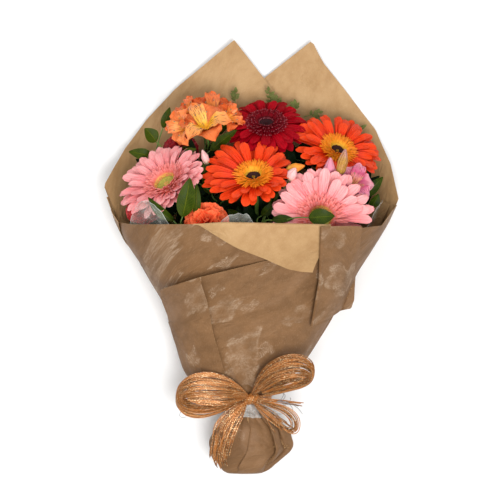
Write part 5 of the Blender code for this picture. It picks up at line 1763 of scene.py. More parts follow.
@dataclass
class Gerbera:
    """A gerbera: long petals in layers, a ring of short ones, a beaded disc, and a stem with its green cup."""

    node: str
    name: str
    centre: Point
    tilt: float
    heading: float
    radius: float
    cup: float
    lean: float
    petals: Petal
    short: Petal
    disc: Grain
    dots: Grain
    seed: int
    counts: tuple[int, int, int] = (23, 20, 13)
    # Longer petals on one side: how much, and towards which compass in degrees
    stretch: tuple[float, float] = (0.0, 90.0)
    # Rows of short petals: radius of the root, radius of the tip and how many
    short_rows: tuple[tuple[float, float, int], ...] = (
        (0.0102, 0.0238, 68), (0.0096, 0.0215, 62), (0.009, 0.0185, 52), (0.0085, 0.015, 40),
    )
    disc_radius: float = 0.008
    width: float = 1.0
    short_half: float = 0.00096
    across: int = 7
    along: int = 12
    root: float = 0.0075
    beads_inside: int = 150
    beads_on_rim: int = 84
    bracts: int = 16

    def frame(self) -> Array:
        """The head's frame."""
        return head_frame(self.centre, self.tilt, self.heading)

    def raised(self) -> float:
        """How far the ring and the disc stand above the head's centre, because the long petals rise."""
        return -0.0001 + 0.0045 * np.tan(np.radians(max(self.cup + abs(self.lean), 0)))

    def ray(self, length: Array, lift: Array, wide: float, rng: Random, many: int) -> Array:
        """Petals before they are turned round the head.

        A petal is a strap: its half width grows by an eased step to 0.6 of its length, stays, and closes by a
        quarter ellipse with two shallow notches. Its middle line rises at its lift, arches up and bends down at
        the tip. Two grooves run along it, and its sides turn up.

        Args:
            length: Length of each petal.
            lift: Rise in radians, one for each petal.
            wide: Largest half width.
            rng: Seeded numbers.
            many: How many.

        Returns:
            Points with axes (petal, across, along, 3).
        """
        u, v = blade_lines(self.across, self.along)[0], self.stations()
        length = np.asarray(length, float).reshape(-1, 1, 1)
        own = rng.uniform(-1, 1, (5, many, 1, 1))
        close = np.sqrt(np.maximum(0.0, 1 - np.maximum(0, (v - 0.84) / 0.163) ** 2.5))
        half = wide * (0.32 + 0.68 * ease(v, -0.05, 0.78)) * (0.24 + 0.76 * close) * (1 + 0.14 * own[0])
        notch = 0.03 * np.abs(u) ** 3 + 0.018 * (1 - np.cos(3 * np.pi * u)) * (0.6 + 0.4 * own[1])
        s = v * length * (1 - notch * v**6)
        lift = np.asarray(lift, float).reshape(-1, 1, 1)
        arch = length * (0.05 + 0.03 * own[2]) * np.sin(np.pi * v) - length * (0.05 + 0.06 * own[3]) * v**4
        groove = -0.0005 * np.cos(3 * np.pi * u) * np.sin(np.pi * np.clip(v * 1.02, 0, 1)) ** 0.5
        sides = (0.16 + 0.16 * own[4]) * half * u**2
        bend = 0.07 * own[3] * length * v**2
        x, z = swing(s, arch, lift)
        return joined(self.root + x, half * u + bend, z + groove + sides)

    def stations(self) -> Array:
        """Where a petal's cross lines lie, from 0 at its root to 1 at its tip, closer together near the tip."""
        return 1 - (1 - np.linspace(0, 1, self.along)) ** 1.55

    def spun(self, grids: Array, around: Array, height: float, roll: Array) -> Array:
        """Grids rolled about their own length, turned round the head's axis and raised.

        Args:
            grids: Points with axes (petal, across, along, 3).
            around: Turn of each petal.
            height: How far all are raised.
            roll: Roll of each petal.

        Returns:
            Points with the same axes.
        """
        y, z = swing(grids[..., 1], grids[..., 2], roll[:, None, None])
        x, y = swing(grids[..., 0], y, around[:, None, None])
        return joined(x, y, z + height)

    def layer(self, piece: Piece, layer: RayLayer, rng: Random) -> None:
        """Adds a layer of long petals. One that would cross the paper's front drops or shortens.

        Args:
            piece: Takes the petals.
            layer: The layer.
            rng: Seeded numbers.
        """
        many = layer.count
        around = 2 * np.pi * (np.arange(many) + layer.turn + rng.uniform(-0.17, 0.17, many)) / many
        lift = layer.lift + self.lean * np.sin(around) + rng.uniform(-3.5, 3.5, many)
        length = (layer.radius - self.root) * rng.uniform(0.94, 1.02, many)
        frame = self.frame()
        out = frame[:2, 0, None] * np.cos(around) + frame[:2, 1, None] * np.sin(around)
        more, towards = self.stretch
        length = length * (1 + more * np.cos(np.arctan2(out[1], out[0]) - np.radians(towards)))
        roll = rng.uniform(-0.22, 0.22, many)
        state = rng.bit_generator.state
        tries = []
        for drop, share in DROPS:
            rng.bit_generator.state = state
            grid = self.ray(share * length, np.radians(lift - drop), layer.width, rng, many)
            tries.append(move(self.spun(grid, around, layer.height, roll), frame))
        tries = np.stack(tries)
        fits = clears_paper(tries).all(axis=(2, 3))
        fits[-1] = True
        chosen = tries[fits.argmax(axis=0), np.arange(many)]
        piece.sheets(chosen, self.blade(LONG_PETAL_WALL), self.petal_uv(), rng.uniform(0, 1, many))

    def blade(self, thickness: float) -> Array:
        """Thickness over a petal: full at its root and middle, thin at its tip and sides."""
        u, v = np.linspace(-1, 1, self.across)[:, None], self.stations()[None]
        return thickness * (1 - 0.45 * np.abs(u) ** 3) * (1 - 0.4 * v**2)

    def petal_uv(self) -> Array:
        """Across and along a petal, each from 0 to 1."""
        return joined(np.linspace(0, 1, self.across)[:, None], self.stations())

    def long_petals(self, rng: Random) -> None:
        """Builds the three layers of long petals on their hub.

        Args:
            rng: Seeded numbers.
        """
        first, second, third = self.counts
        wide = self.width * 0.0985 * self.radius
        piece = Piece(f"{self.name}_petals")
        hub = ((0.0001, -0.003), (0.0105, -0.003), (0.0112, -0.0048), (0.0105, -0.0068), (0.0001, -0.0068))
        piece.turned(hub, 24, self.frame(), 0.4)
        for layer in (
            RayLayer(first, self.radius, -0.0056, self.cup - 1.5, wide, 0.0),
            RayLayer(second, 0.94 * self.radius, -0.0044, self.cup + 5.0, wide * 0.97, 0.45),
            RayLayer(third, 0.8 * self.radius, -0.0034, self.cup + 11, wide * 0.9, 0.2),
        ):
            self.layer(piece, layer, rng)
        piece.build((self.petals.make(),), f"{self.node}_rays")

    def short_petals(self, rng: Random) -> None:
        """Builds the ring: rows of short narrow petals that rise steeply and curl out, on a low collar.

        Args:
            rng: Seeded numbers.
        """
        frame, up = self.frame(), self.raised()
        piece = Piece(f"{self.name}_short_petals")
        rim = self.disc_radius
        core = (
            (0.0001, 0.0006), (0.98 * rim, 0.0006), (1.2 * rim, 0.003),
            (1.45 * rim, 0.0026), (1.3 * rim, -0.002), (0.0001, -0.0022),
        )
        lifted = frame.copy()
        lifted[:3, 3] += frame[:3, 2] * up
        piece.turned(core, 30, lifted, 0.3)
        (u, v), uv = blade_lines(3, 6), blade_uv(3, 6)
        for row, (root, reach, many) in enumerate(self.short_rows):
            own = rng.uniform(-1, 1, (3, many, 1, 1))
            around = 2 * np.pi * (np.arange(many) + rng.uniform(-0.3, 0.3, many)) / many
            lift = np.radians(self.cup + self.lean * np.sin(around) + 14 + 12 * row)
            lift = lift[:, None, None] + 0.1 * own[0]
            length = (reach - root) * (1 + 0.09 * own[1])
            half = self.short_half * (0.5 + 0.5 * np.sin(np.pi * (0.15 + 0.62 * v))) * (1 - 0.8 * v**5)
            x, z = swing(length * v, -length * 0.12 * v**2.2, lift)
            grid = joined(root + x, half * u + 0.1 * own[2] * length * v**2, z + 0.0002 * u**2)
            placed = self.spun(grid, around, 0.0008 + 0.0007 * row + up, rng.uniform(-0.3, 0.3, many))
            placed, tone = move(placed, frame), rng.uniform(0, 1, many)
            fits = clears_paper(placed).all(axis=(1, 2))
            piece.sheets(placed[fits], PETAL_WALL, uv, tone[fits])
        piece.build((self.short.make(),), f"{self.node}_florets")

    def eye(self, rng: Random) -> None:
        """Builds the disc: a low cushion covered in beads along a sunflower spiral, with dots round its rim.

        Args:
            rng: Seeded numbers.
        """
        frame = self.frame()
        frame[:3, 3] += frame[:3, 2] * (self.raised() - 0.0009)
        piece = Piece(f"{self.name}_disc")
        outer = self.disc_radius
        cushion = (
            (0.0001, 0.0012), (0.4 * outer, 0.0016), (0.8 * outer, 0.0022),
            (0.98 * outer, 0.0018), (0.9 * outer, 0.0007), (0.0001, 0.0004),
        )
        piece.turned(cushion, 28, frame, 0.2)
        beads = np.arange(self.beads_inside)
        radius = 0.95 * outer * np.sqrt((beads + 0.5) / self.beads_inside)
        height = 0.0014 + 0.001 * (radius / outer) ** 2
        self.beads(piece, radius, beads * GOLDEN_ANGLE, height, 0.00042, 0.0011, frame, rng, 0)
        many = self.beads_on_rim
        radius = outer * rng.uniform(0.96, 1.2, many)
        turn = np.arange(many) * 2 * np.pi / many
        self.beads(piece, radius, turn, np.full(many, 0.003), 0.0004, 0.0021, frame, rng, 1)
        piece.build((self.disc.make(), self.dots.make()), f"{self.node}_eye")

    def beads(
        self, piece: Piece, radius: Array, turn: Array, height: Array, size: float, tall: float,
        frame: Array, rng: Random, slot: int,
    ) -> None:
        """Adds short pegs with rounded ends at polar places on the disc.

        Args:
            piece: Takes the pegs.
            radius: Distance of each from the disc's middle.
            turn: Its angle.
            height: Height of its middle.
            size: Radius of the pegs.
            tall: Their length.
            frame: The disc's frame.
            rng: Seeded numbers.
            slot: Finish number.
        """
        t = np.array((0.0, 0.35, 0.75, 1.0))
        lean = 0.18 * radius[:, None] / self.disc_radius * t * tall
        grow = rng.uniform(0.7, 1.2, len(radius))[:, None]
        x = (radius[:, None] + lean) * np.cos(turn)[:, None]
        y = (radius[:, None] + lean) * np.sin(turn)[:, None]
        paths = move(joined(x, y, height[:, None] - 0.4 * tall + t * tall * grow), frame)
        sizes = size * np.array((0.8, 1.0, 1.0, 1.0))
        piece.tubes(paths, sizes, 5, frame[:3, 0] + 0.01, rng.uniform(0, 1, len(radius)), slot)

    def stem(self, rng: Random) -> None:
        """Builds the stem and the green cup, which is ringed with two rows of narrow pointed bracts.

        Args:
            rng: Seeded numbers.
        """
        frame = self.frame()
        normal = frame[:3, 2]
        piece = Piece(f"{self.name}_stem")
        line = STEMS.line(self.node, np.asarray(self.centre) - normal * HEAD_DEPTH, normal, 46)
        last = len(line) - 1
        swell = np.interp(np.arange(last + 1), (0, 8, last - 5, last), (0.0026, 0.0023, 0.0023, 0.0034))
        piece.tubes(line[None], swell, 10, STEM_SIDE, 0.2)
        cup = (
            (0.0001, -0.0068), (0.0098, -0.0069), (0.0096, -0.01),
            (0.0072, -0.015), (0.0042, -0.0195), (0.0001, -0.0215),
        )
        piece.turned(cup, 24, frame, 0.5)
        u, v = blade_lines(3, 5)
        half = 0.0017 * (1 - v**2) + 0.00015
        for row, start in enumerate((0.0062, 0.008)):
            around = 2 * np.pi * (np.arange(self.bracts) + 0.5 * row) / self.bracts
            grid = joined(start + 0.0052 * np.sqrt(v), half * u, -0.017 + 0.0034 * row + 0.0095 * v)
            grid = np.broadcast_to(grid, (self.bracts, 3, 5, 3))
            placed = move(self.spun(grid, around, 0.0, np.zeros(self.bracts)), frame)
            piece.sheets(placed, LONG_PETAL_WALL, blade_uv(3, 5), rng.uniform(0, 1, self.bracts))
        piece.build((STALK.make(),), f"{self.node}_stem")

    def make(self) -> None:
        """Builds the flower's four pieces."""
        rng = np.random.default_rng(self.seed)
        self.long_petals(rng)
        self.short_petals(rng)
        self.eye(rng)
        self.stem(rng)


STALK = Grain("stalk_green", (0.045, 0.105, 0.012), (0.12, 0.21, 0.035), 0.45, 20.0)


@dataclass(frozen=True)
class Leaf:
    """One leaf: its foot, its tip, its half width and the way its upper face looks."""

    base: Point
    tip: Point
    half: float
    facing: Point = UP


@dataclass(frozen=True)
class Floret:
    """One open floret: its place, its reach, how flat it opens, its turn, and its broad and streaked petals."""

    node: str
    centre: Point
    tilt: float
    heading: float
    size: float
    openness: float
    turn: float
    broad: Petal
    inner: StreakedTepal

    def frame(self) -> Array:
        """The floret's frame."""
        return head_frame(self.centre, self.tilt, self.heading)


@dataclass(frozen=True)
class Bud:
    """One closed bud: its foot, its tip, its radius and its petals' finish."""

    node: str
    base: Point
    tip: Point
    radius: float
    skin: Petal


@dataclass
class Alstroemeria:
    """An alstroemeria: open florets of six petals, buds, and a stem with leaves and a stalk to each bloom."""

    node: str
    top: Point
    direction: Point
    leaves: tuple[Leaf, ...]
    florets: tuple[Floret, ...]
    buds: tuple[Bud, ...]
    slot: str
    seed: int
    grid: tuple[int, int] = (9, 15)
    frill: float = 0.0023

    def tepals(self, count: int, out: float, wide: float, rise: float, rng: Random) -> Array:
        """Petals that rise from the throat and open out.

        The middle line goes up by a quarter sine and outwards; the half width is a power curve, broad near the
        tip for the outer petals; the rim is ruffled by a sine along it.

        Args:
            count: How many.
            out: Reach from the middle.
            wide: Largest half width.
            rise: Height of the widest place.
            rng: Seeded numbers.

        Returns:
            Points with axes (petal, across, along, 3).
        """
        u, v = blade_lines(*self.grid)
        own = rng.uniform(-1, 1, (4, count, 1, 1))
        half = wide * np.maximum(0.06, np.sin(np.pi * np.clip(0.06 + 0.66 * v**1.05, 0, 1)) ** 0.9)
        close = np.sqrt(np.maximum(0.01, 1 - np.maximum(0, (v - 0.66) / 0.345) ** 2.2))
        half = half * close * (1 + 0.1 * own[0])
        x = out * (0.35 * v + 0.65 * v**1.7) * (1 - 0.05 * np.abs(u) ** 2.5)
        z = rise * np.sin(0.5 * np.pi * np.minimum(1.0, 1.25 * v))
        z = z - rise * 0.22 * np.maximum(0, v - 0.7) * (2 + own[1])
        cup = 0.3 * half * u**2
        rim = self.frill * np.abs(u) ** 3 * np.sin(v * 21 + 5 * own[2] + 2 * u) * ease(v, 0.35, 0.7)
        tip = -0.1 * out * np.maximum(0, v - 0.88) * 4 * (1 - u**2)
        return joined(x - tip * 0.4, half * u, z + cup + rim + tip)

    def floret(self, bloom: Floret, rng: Random) -> None:
        """Builds one floret: three broad petals, three streaked ones and six stamens.

        Args:
            bloom: Its place, sizes and finishes.
            rng: Seeded numbers.
        """
        frame, size = bloom.frame(), bloom.size
        piece = Piece(f"{bloom.node}_bloom")
        throat = ((0.0001, 0.0014), (0.0026, 0.001), (0.0034, -0.0006), (0.0024, -0.003), (0.0001, -0.004))
        piece.turned(throat, 14, frame, 0.2)
        rise = size * 0.66 * (1 - bloom.openness)
        for slot, reach, wide, up, shift in ((0, 1.0, 0.47, 0.96, 0.0), (1, 1.06, 0.33, 1.22, 1.0)):
            grid = self.tepals(3, size * reach, size * wide, rise * up, rng)
            around = 2 * np.pi * (np.arange(3) * 2 + shift) / 6 + bloom.turn + rng.uniform(-0.12, 0.12, 3)
            x, y = swing(grid[..., 0], grid[..., 1], around[:, None, None])
            placed = move(joined(x, y, grid[..., 2] + 0.0012 * slot), frame)
            piece.sheets(placed, PETAL_WALL, blade_uv(*self.grid), rng.uniform(0, 1, 3), (slot, slot))
        around = np.linspace(0, 2 * np.pi, 7)[:-1, None] + 0.4
        t = np.linspace(0, 1, 8)
        out = size * 0.1 + size * 0.34 * t**1.6
        rows = joined(out * np.cos(around), out * np.sin(around), rise * 1.15 * t)
        aside = frame[:3, 0] + 0.02
        piece.tubes(move(rows, frame), 0.00032, 5, aside, 0.6, 2)
        knob = rows[:, -1:] + np.array((0, 0, 1.0)) * np.linspace(-0.001, 0.0014, 5)[None, :, None]
        sizes = np.array((0.0004, 0.0008, 0.0009, 0.0008, 0.0003))
        piece.tubes(move(knob, frame), sizes, 6, aside, 0.3, 3)
        finishes = (bloom.broad.make(), bloom.inner.make(), FILAMENT.make(), ANTHER.make())
        piece.build(finishes, bloom.node)

    def bud(self, bud: Bud, rng: Random) -> None:
        """Builds a closed bud: a pointed spindle wrapped in five narrow petals.

        Args:
            bud: Its place, size and finish.
            rng: Seeded numbers.
        """
        way = np.array(bud.tip) - np.array(bud.base)
        frame, long = axis_frame(bud.base, way), np.linalg.norm(way)
        piece = Piece(f"{bud.node}_{bud.skin.name}")
        radii, heights = np.array((0.3, 0.86, 0.7)) * bud.radius, np.array((0.9, 0.55, 0.2)) * long
        piece.turned(((0.0001, long), *zip(radii, heights), (0.0001, 0.0)), 18, frame, 0.4)
        u, v = blade_lines(7, 12)
        around = np.linspace(0, 2 * np.pi, 6)[:-1]
        wrap = np.interp(v, (0, 0.2, 0.55, 0.9, 1), (0.12, 0.74, 0.92, 0.36, 0.08)) * bud.radius + 0.0002
        angle = around[:, None, None] + 0.72 * u * (1 - 0.5 * v**2) + 0.5 * v
        stand = wrap + 0.0005 * (1 + u) * (1 - v)
        grid = joined(stand * np.cos(angle), stand * np.sin(angle), long * (0.03 + 0.985 * v))
        piece.sheets(move(grid, frame), BUD_WALL, blade_uv(7, 12), rng.uniform(0, 1, 5))
        piece.build((bud.skin.make(),), bud.node)

    def make(self) -> None:
        """Builds the florets, the buds and the stem."""
        rng = np.random.default_rng(self.seed)
        feet = []
        for bloom in self.florets:
            self.floret(bloom, rng)
            normal = bloom.frame()[:3, 2]
            feet.append((np.array(bloom.centre) - normal * 0.004, normal))
        for bud in self.buds:
            self.bud(bud, rng)
            feet.append((np.array(bud.base), unit(np.array(bud.tip) - np.array(bud.base))))
        stem = (self.node, self.top, self.direction, self.leaves, "leaf", FRESH_LEAF, self.seed + 1)
        LeafyStem(*stem, feet=tuple(feet)).make()


@dataclass
class LeafyStem:
    """A stem whose leaves leave it near its top, with extra leaves coloured near black as painted shade, twigs,
    and stalks to blooms' feet.
    """

    node: str
    top: Point
    direction: Point
    leaves: tuple[Leaf, ...]
    slot: str
    skin: LeafSkin
    seed: int
    extra: tuple[Leaf, ...] = ()
    sprigs: tuple[tuple[Point, Point], ...] = ()
    feet: tuple[tuple[Array, Array], ...] = ()
    arch: float = 0.08
    fold: float = 0.22
    grid: tuple[int, int] = (9, 17)
    sprig_leaves: int = 6

    def leaf(self, base: Array, tip: Array, half: float, facing: Array, own: Array) -> Array:
        """A leaf blade: an oval with a drawn-out tip, folded and arched along its midrib and waved at its rim.

        Args:
            base: Foot of the blade.
            tip: Its tip.
            half: Half width.
            facing: The way its upper face looks.
            own: Three random numbers from -1 to 1.

        Returns:
            Points with axes (across, along, 3).
        """
        u, v = (line[0] for line in blade_lines(*self.grid))
        along = tip - base
        long = np.linalg.norm(along)
        side = unit(np.cross(facing, along))
        up = np.cross(along / long, side)
        width = half * np.maximum(0.03, np.sin(np.pi * v**0.85) ** 0.75) * (1 - 0.12 * v)
        width[:, -1] = half * 0.02
        lift = self.arch * long * np.sin(np.pi * v) * (1 + 0.3 * own[0]) + self.fold * width * np.abs(u) ** 1.4
        rim = 0.05 * half * np.sin(9 * v + 4 * own[1]) * u**2 * np.sign(u)
        drift = 0.05 * long * own[2] * np.sin(np.pi * v)
        across = side * (width * u + drift)[..., None]
        return base + along * v[..., None] + across + up * (lift + rim)[..., None]

    def sprig(self, piece: Piece, foot: Array, end: Array, rng: Random) -> list[Array]:
        """Adds a thin twig and returns its small leaves, which leave it in turn to the left and to the right.

        Args:
            piece: Takes the twig.
            foot: Where the twig comes out.
            end: Its tip.
            rng: Seeded numbers.

        Returns:
            The blades.
        """
        line = smooth_path(np.stack((foot - (end - foot) * 0.6, foot, end)), 14)
        piece.tubes(line[None], np.linspace(0.0006, 0.0003, 14), 5, (0.4, -0.3, 0.85), 0.9, 1)
        way = unit(end - foot)
        aside = unit(np.cross((0.0, 0.0, 1.0), way))
        upright = np.array((0.0, 0.0, 1.0))
        blades = []
        for number, place in enumerate(np.linspace(0.12, 1.0, self.sprig_leaves)):
            turn = 0.0 if number == self.sprig_leaves - 1 else (-1.0) ** number
            out = way * rng.uniform(0.4, 0.8) + aside * turn * 0.9 + upright * rng.uniform(0.0, 0.35)
            start = foot + (end - foot) * place
            long = rng.uniform(0.0052, 0.008)
            tip, own = start + unit(out) * long, rng.uniform(-1, 1, 3)
            blades.append(self.leaf(start, tip, 0.32 * long, upright, own))
        return blades

    @staticmethod
    def stalk(start: Array, foot: Array, way: Array, end: Array, count: int) -> Array:
        """A small stalk.

        Args:
            start: Where it leaves the stem.
            foot: The foot of its leaf or bloom.
            way: The way in which it comes in there.
            end: Where it ends.
            count: Points of its line.

        Returns:
            The line.
        """
        bend = foot - way * 0.35 * np.linalg.norm(foot - start)
        return smooth_path(np.stack((start, bend, end)), count)

    def make(self) -> None:
        """Builds the stalk, the leaf stalks and the blades as one piece."""
        rng = np.random.default_rng(self.seed)
        line = STEMS.line(self.node, self.top, self.direction, 40)
        piece = Piece(f"{self.node}_greens")
        last = len(line) - 1
        swell = np.interp(np.arange(last + 1), (0, last - 7, last), (0.0021, 0.002, 0.0012))
        piece.tubes(line[None], swell, 8, STEM_SIDE, 0.3, 1)
        blades = []
        for count, leaf in enumerate((*self.leaves, *self.extra)):
            base, tip, facing = (np.array(place, float) for place in (leaf.base, leaf.tip, leaf.facing))
            way = tip - base
            stalk = self.stalk(line[-1 - min(count, 9)], base, unit(way), base + way * 0.03, 14)
            piece.tubes(stalk[None], np.linspace(0.001, 0.0006, 14), 6, STALK_SIDE, 0.3, 1)
            blades.append(self.leaf(base, tip, leaf.half, unit(facing), rng.uniform(-1, 1, 3)))
        for foot, end in self.sprigs:
            blades += self.sprig(piece, np.array(foot), np.array(end), rng)
        uv = blade_uv(*self.grid)
        near = len(blades) - len(self.extra)
        piece.sheets(np.stack(blades[:near]), LEAF_WALL, uv, rng.uniform(0, 1, near))
        # The extra leaves take the near-black leaf finish, painted shade
        if self.extra:
            piece.sheets(np.stack(blades[near:]), LEAF_WALL, uv, rng.uniform(0, 1, len(self.extra)), (2, 2))
        for foot, normal in self.feet:
            stalk = self.stalk(line[-3], foot, normal, foot, 16)
            piece.tubes(stalk[None], 0.0009, 7, STALK_SIDE, 0.6, 1)
        piece.build((self.skin.make(), STALK.make(), SHADE_DARKENED_LEAF.make()), self.node)


@dataclass
class Carnation:
    """A carnation: many broad ruffled petals with toothed rims, on a tube-shaped green cup."""

    node: str
    name: str
    centre: Point
    tilt: float
    heading: float
    size: float
    petals: Petal
    slot: str
    seed: int
    # Rings of petals from the outside in: how many, lift in degrees and share of the size
    rings: tuple[tuple[int, float, float], ...] = (
        (7, 8, 1.0), (7, 26, 0.95), (6, 44, 0.86), (5, 62, 0.74), (4, 78, 0.6),
    )
    grid: tuple[int, int] = (13, 9)

    def ring(self, number: int, rng: Random) -> Array:
        """One ring of petals, which fan out and wave by two sines round their rims.

        Args:
            number: Which ring, from the outside in.
            rng: Seeded numbers.

        Returns:
            Points with axes (petal, across, along, 3).
        """
        many, lift, share = self.rings[number]
        u, v = blade_lines(*self.grid)
        own = rng.uniform(-1, 1, (5, many, 1, 1))
        around = 2 * np.pi * (np.arange(many) + 0.5 * number + rng.uniform(-0.2, 0.2, many)) / many
        out = self.size * share * (1 + 0.07 * own[1])
        teeth = 1 - 0.05 * np.abs(np.sin(9.5 * np.pi * u)) * v**6 - 0.1 * np.abs(u) ** 2.2 * v**3
        radius = out * v * teeth
        fan = 0.78 * u * (1 - 0.15 * v)
        ruffle = self.size * 0.12 * v**1.6 * np.sin(4.4 * u + 6 * own[2])
        ruffle = ruffle + self.size * 0.05 * v**2 * np.sin(12 * u + 5 * own[3])
        curl = -self.size * 0.1 * v**3 * (1 + own[4])
        x, z = swing(radius * np.cos(fan), ruffle + curl, np.radians(lift + 7 * own[0]))
        x, y = swing(0.0015 + x, radius * np.sin(fan) * 1.08, around[:, None, None])
        return joined(x, y, z + 0.001 * number)

    def make(self) -> None:
        """Builds the bloom, and its stem with the cup."""
        rng = np.random.default_rng(self.seed)
        frame = head_frame(self.centre, self.tilt, self.heading)
        normal = frame[:3, 2]
        piece = Piece(f"{self.name}_petals")
        piece.turned(((0.0001, 0.005), (0.0046, 0.0042), (0.006, -0.004), (0.0001, -0.0062)), 18, frame, 0.2)
        for number, (many, _, _) in enumerate(self.rings):
            placed = move(self.ring(number, rng), frame)
            piece.sheets(placed, PETAL_WALL, blade_uv(*self.grid), rng.uniform(0, 1, many))
        piece.build((self.petals.make(),), f"{self.node}_petals")
        stem = Piece(f"{self.name}_stem")
        line = STEMS.line(self.node, np.array(self.centre) - normal * HEAD_DEPTH, normal, 44)
        stem.tubes(line[None], 0.0019, 9, STEM_SIDE, 0.2)
        cup = (
            (0.0001, -0.0056), (0.006, -0.005), (0.0058, -0.012),
            (0.0044, -0.0185), (0.002, -0.0215), (0.0001, -0.0225),
        )
        stem.turned(cup, 20, frame, 0.6)
        stem.build((STALK.make(),), f"{self.node}_stem")


@dataclass
class StemBinding:
    """Rubber band wound round the stems above the neck."""

    centre: Point = (0.0, -0.178, 0.031)
    half: tuple[float, float] = (0.0208, 0.0172)
    turns: int = 3

    def make(self) -> None:
        """Builds three turns side by side as round ellipses."""
        turn = np.linspace(0, 2 * np.pi, 60)
        y = np.linspace(-0.001, 0.001, self.turns)[:, None]
        ring = joined(self.half[0] * np.sin(turn), y, self.half[1] * np.cos(turn)) + self.centre
        piece = Piece("rubber_band_turns")
        piece.tubes(ring, 0.0006, 8, (0, 1, 0), 0.4)
        rubber = Grain("rubber", (0.28, 0.16, 0.07), (0.42, 0.27, 0.12), 0.6)
        piece.build((rubber.make(),), "stem_binding")


FILAMENT = Grain("filament", (0.72, 0.3, 0.1), (0.85, 0.48, 0.2), 0.5)
ANTHER = Grain("anther", (0.16, 0.09, 0.05), (0.42, 0.3, 0.16), 0.7)
FRESH_LEAF = LeafSkin("fresh_leaf", (0.016, 0.034, 0.001), (0.04, 0.062, 0.002), (0.11, 0.13, 0.006))
MIDDLE_LEAF = LeafSkin("middle_leaf", (0.01, 0.025, 0.001), (0.034, 0.056, 0.002), (0.085, 0.115, 0.008))
# Real filler leaves, coloured near black: painted shade for the dark gaps between the blooms
SHADE_DARKENED_LEAF = LeafSkin("leaf_darkened_as_shade", (0.002, 0.008, 0.001), (0.007, 0.022, 0.003), (0.018, 0.044, 0.008), 0.45)
SPRIG_LEAF = LeafSkin("sprig_leaf", (0.11, 0.125, 0.03), (0.19, 0.205, 0.06), (0.28, 0.29, 0.11), 0.5)

ORANGE_RAYS = Petal(
    "orange_rays", (0.84, 0.12, 0.006), (0.84, 0.043, 0.003), (0.9, 0.07, 0.006), (0.44, 0.012, 0.002),
)
RED_RAYS = Petal(
    "red_rays", (0.08, 0.0004, 0.002), (0.34, 0.0005, 0.005), (0.44, 0.001, 0.009), (0.09, 0.0002, 0.003),
    shine=0.06,
)
PINK_RAYS = Petal(
    "pink_rays", (0.84, 0.19, 0.17), (0.89, 0.3, 0.305), (0.93, 0.45, 0.44), (0.72, 0.12, 0.14), vein_share=0.5,
    shine=0.12,
)
ORANGE_SHORT = Petal(
    "orange_short_petals", (0.8, 0.5, 0.03), (0.93, 0.47, 0.025), (0.93, 0.22, 0.01), (0.72, 0.17, 0.005),
)
RED_SHORT = Petal(
    "red_short_petals", (0.04, 0.0004, 0.002), (0.18, 0.001, 0.006), (0.5, 0.13, 0.15), (0.08, 0.0005, 0.003),
    shine=0.07, tip_from=0.9, blotch=0.0,
)
PINK_SHORT = Petal(
    "pink_short_petals", (0.86, 0.58, 0.1), (0.86, 0.2, 0.15), (0.92, 0.36, 0.34), (0.7, 0.1, 0.1), shine=0.12,
)
PINK_RING = ((0.0143, 0.0302, 74), (0.0134, 0.0272, 68), (0.0127, 0.0236, 60), (0.012, 0.0192, 50))
DARK_DISC = Grain("dark_disc", (0.008, 0.002, 0.002), (0.05, 0.01, 0.008), 0.7)
RED_DISC = Grain("red_disc", (0.01, 0.001, 0.002), (0.05, 0.003, 0.007), 0.7)
GREEN_DISC = Grain("green_disc", (0.26, 0.25, 0.03), (0.52, 0.46, 0.09), 0.6)
YELLOW_DOTS = Grain("yellow_dots", (0.8, 0.42, 0.02), (0.95, 0.72, 0.12), 0.6)
ROSE_DOTS = Grain("rose_dots", (0.16, 0.01, 0.02), (0.4, 0.1, 0.12), 0.6)
PALE_DOTS = Grain("pale_dots", (0.8, 0.5, 0.06), (0.92, 0.72, 0.16), 0.6)


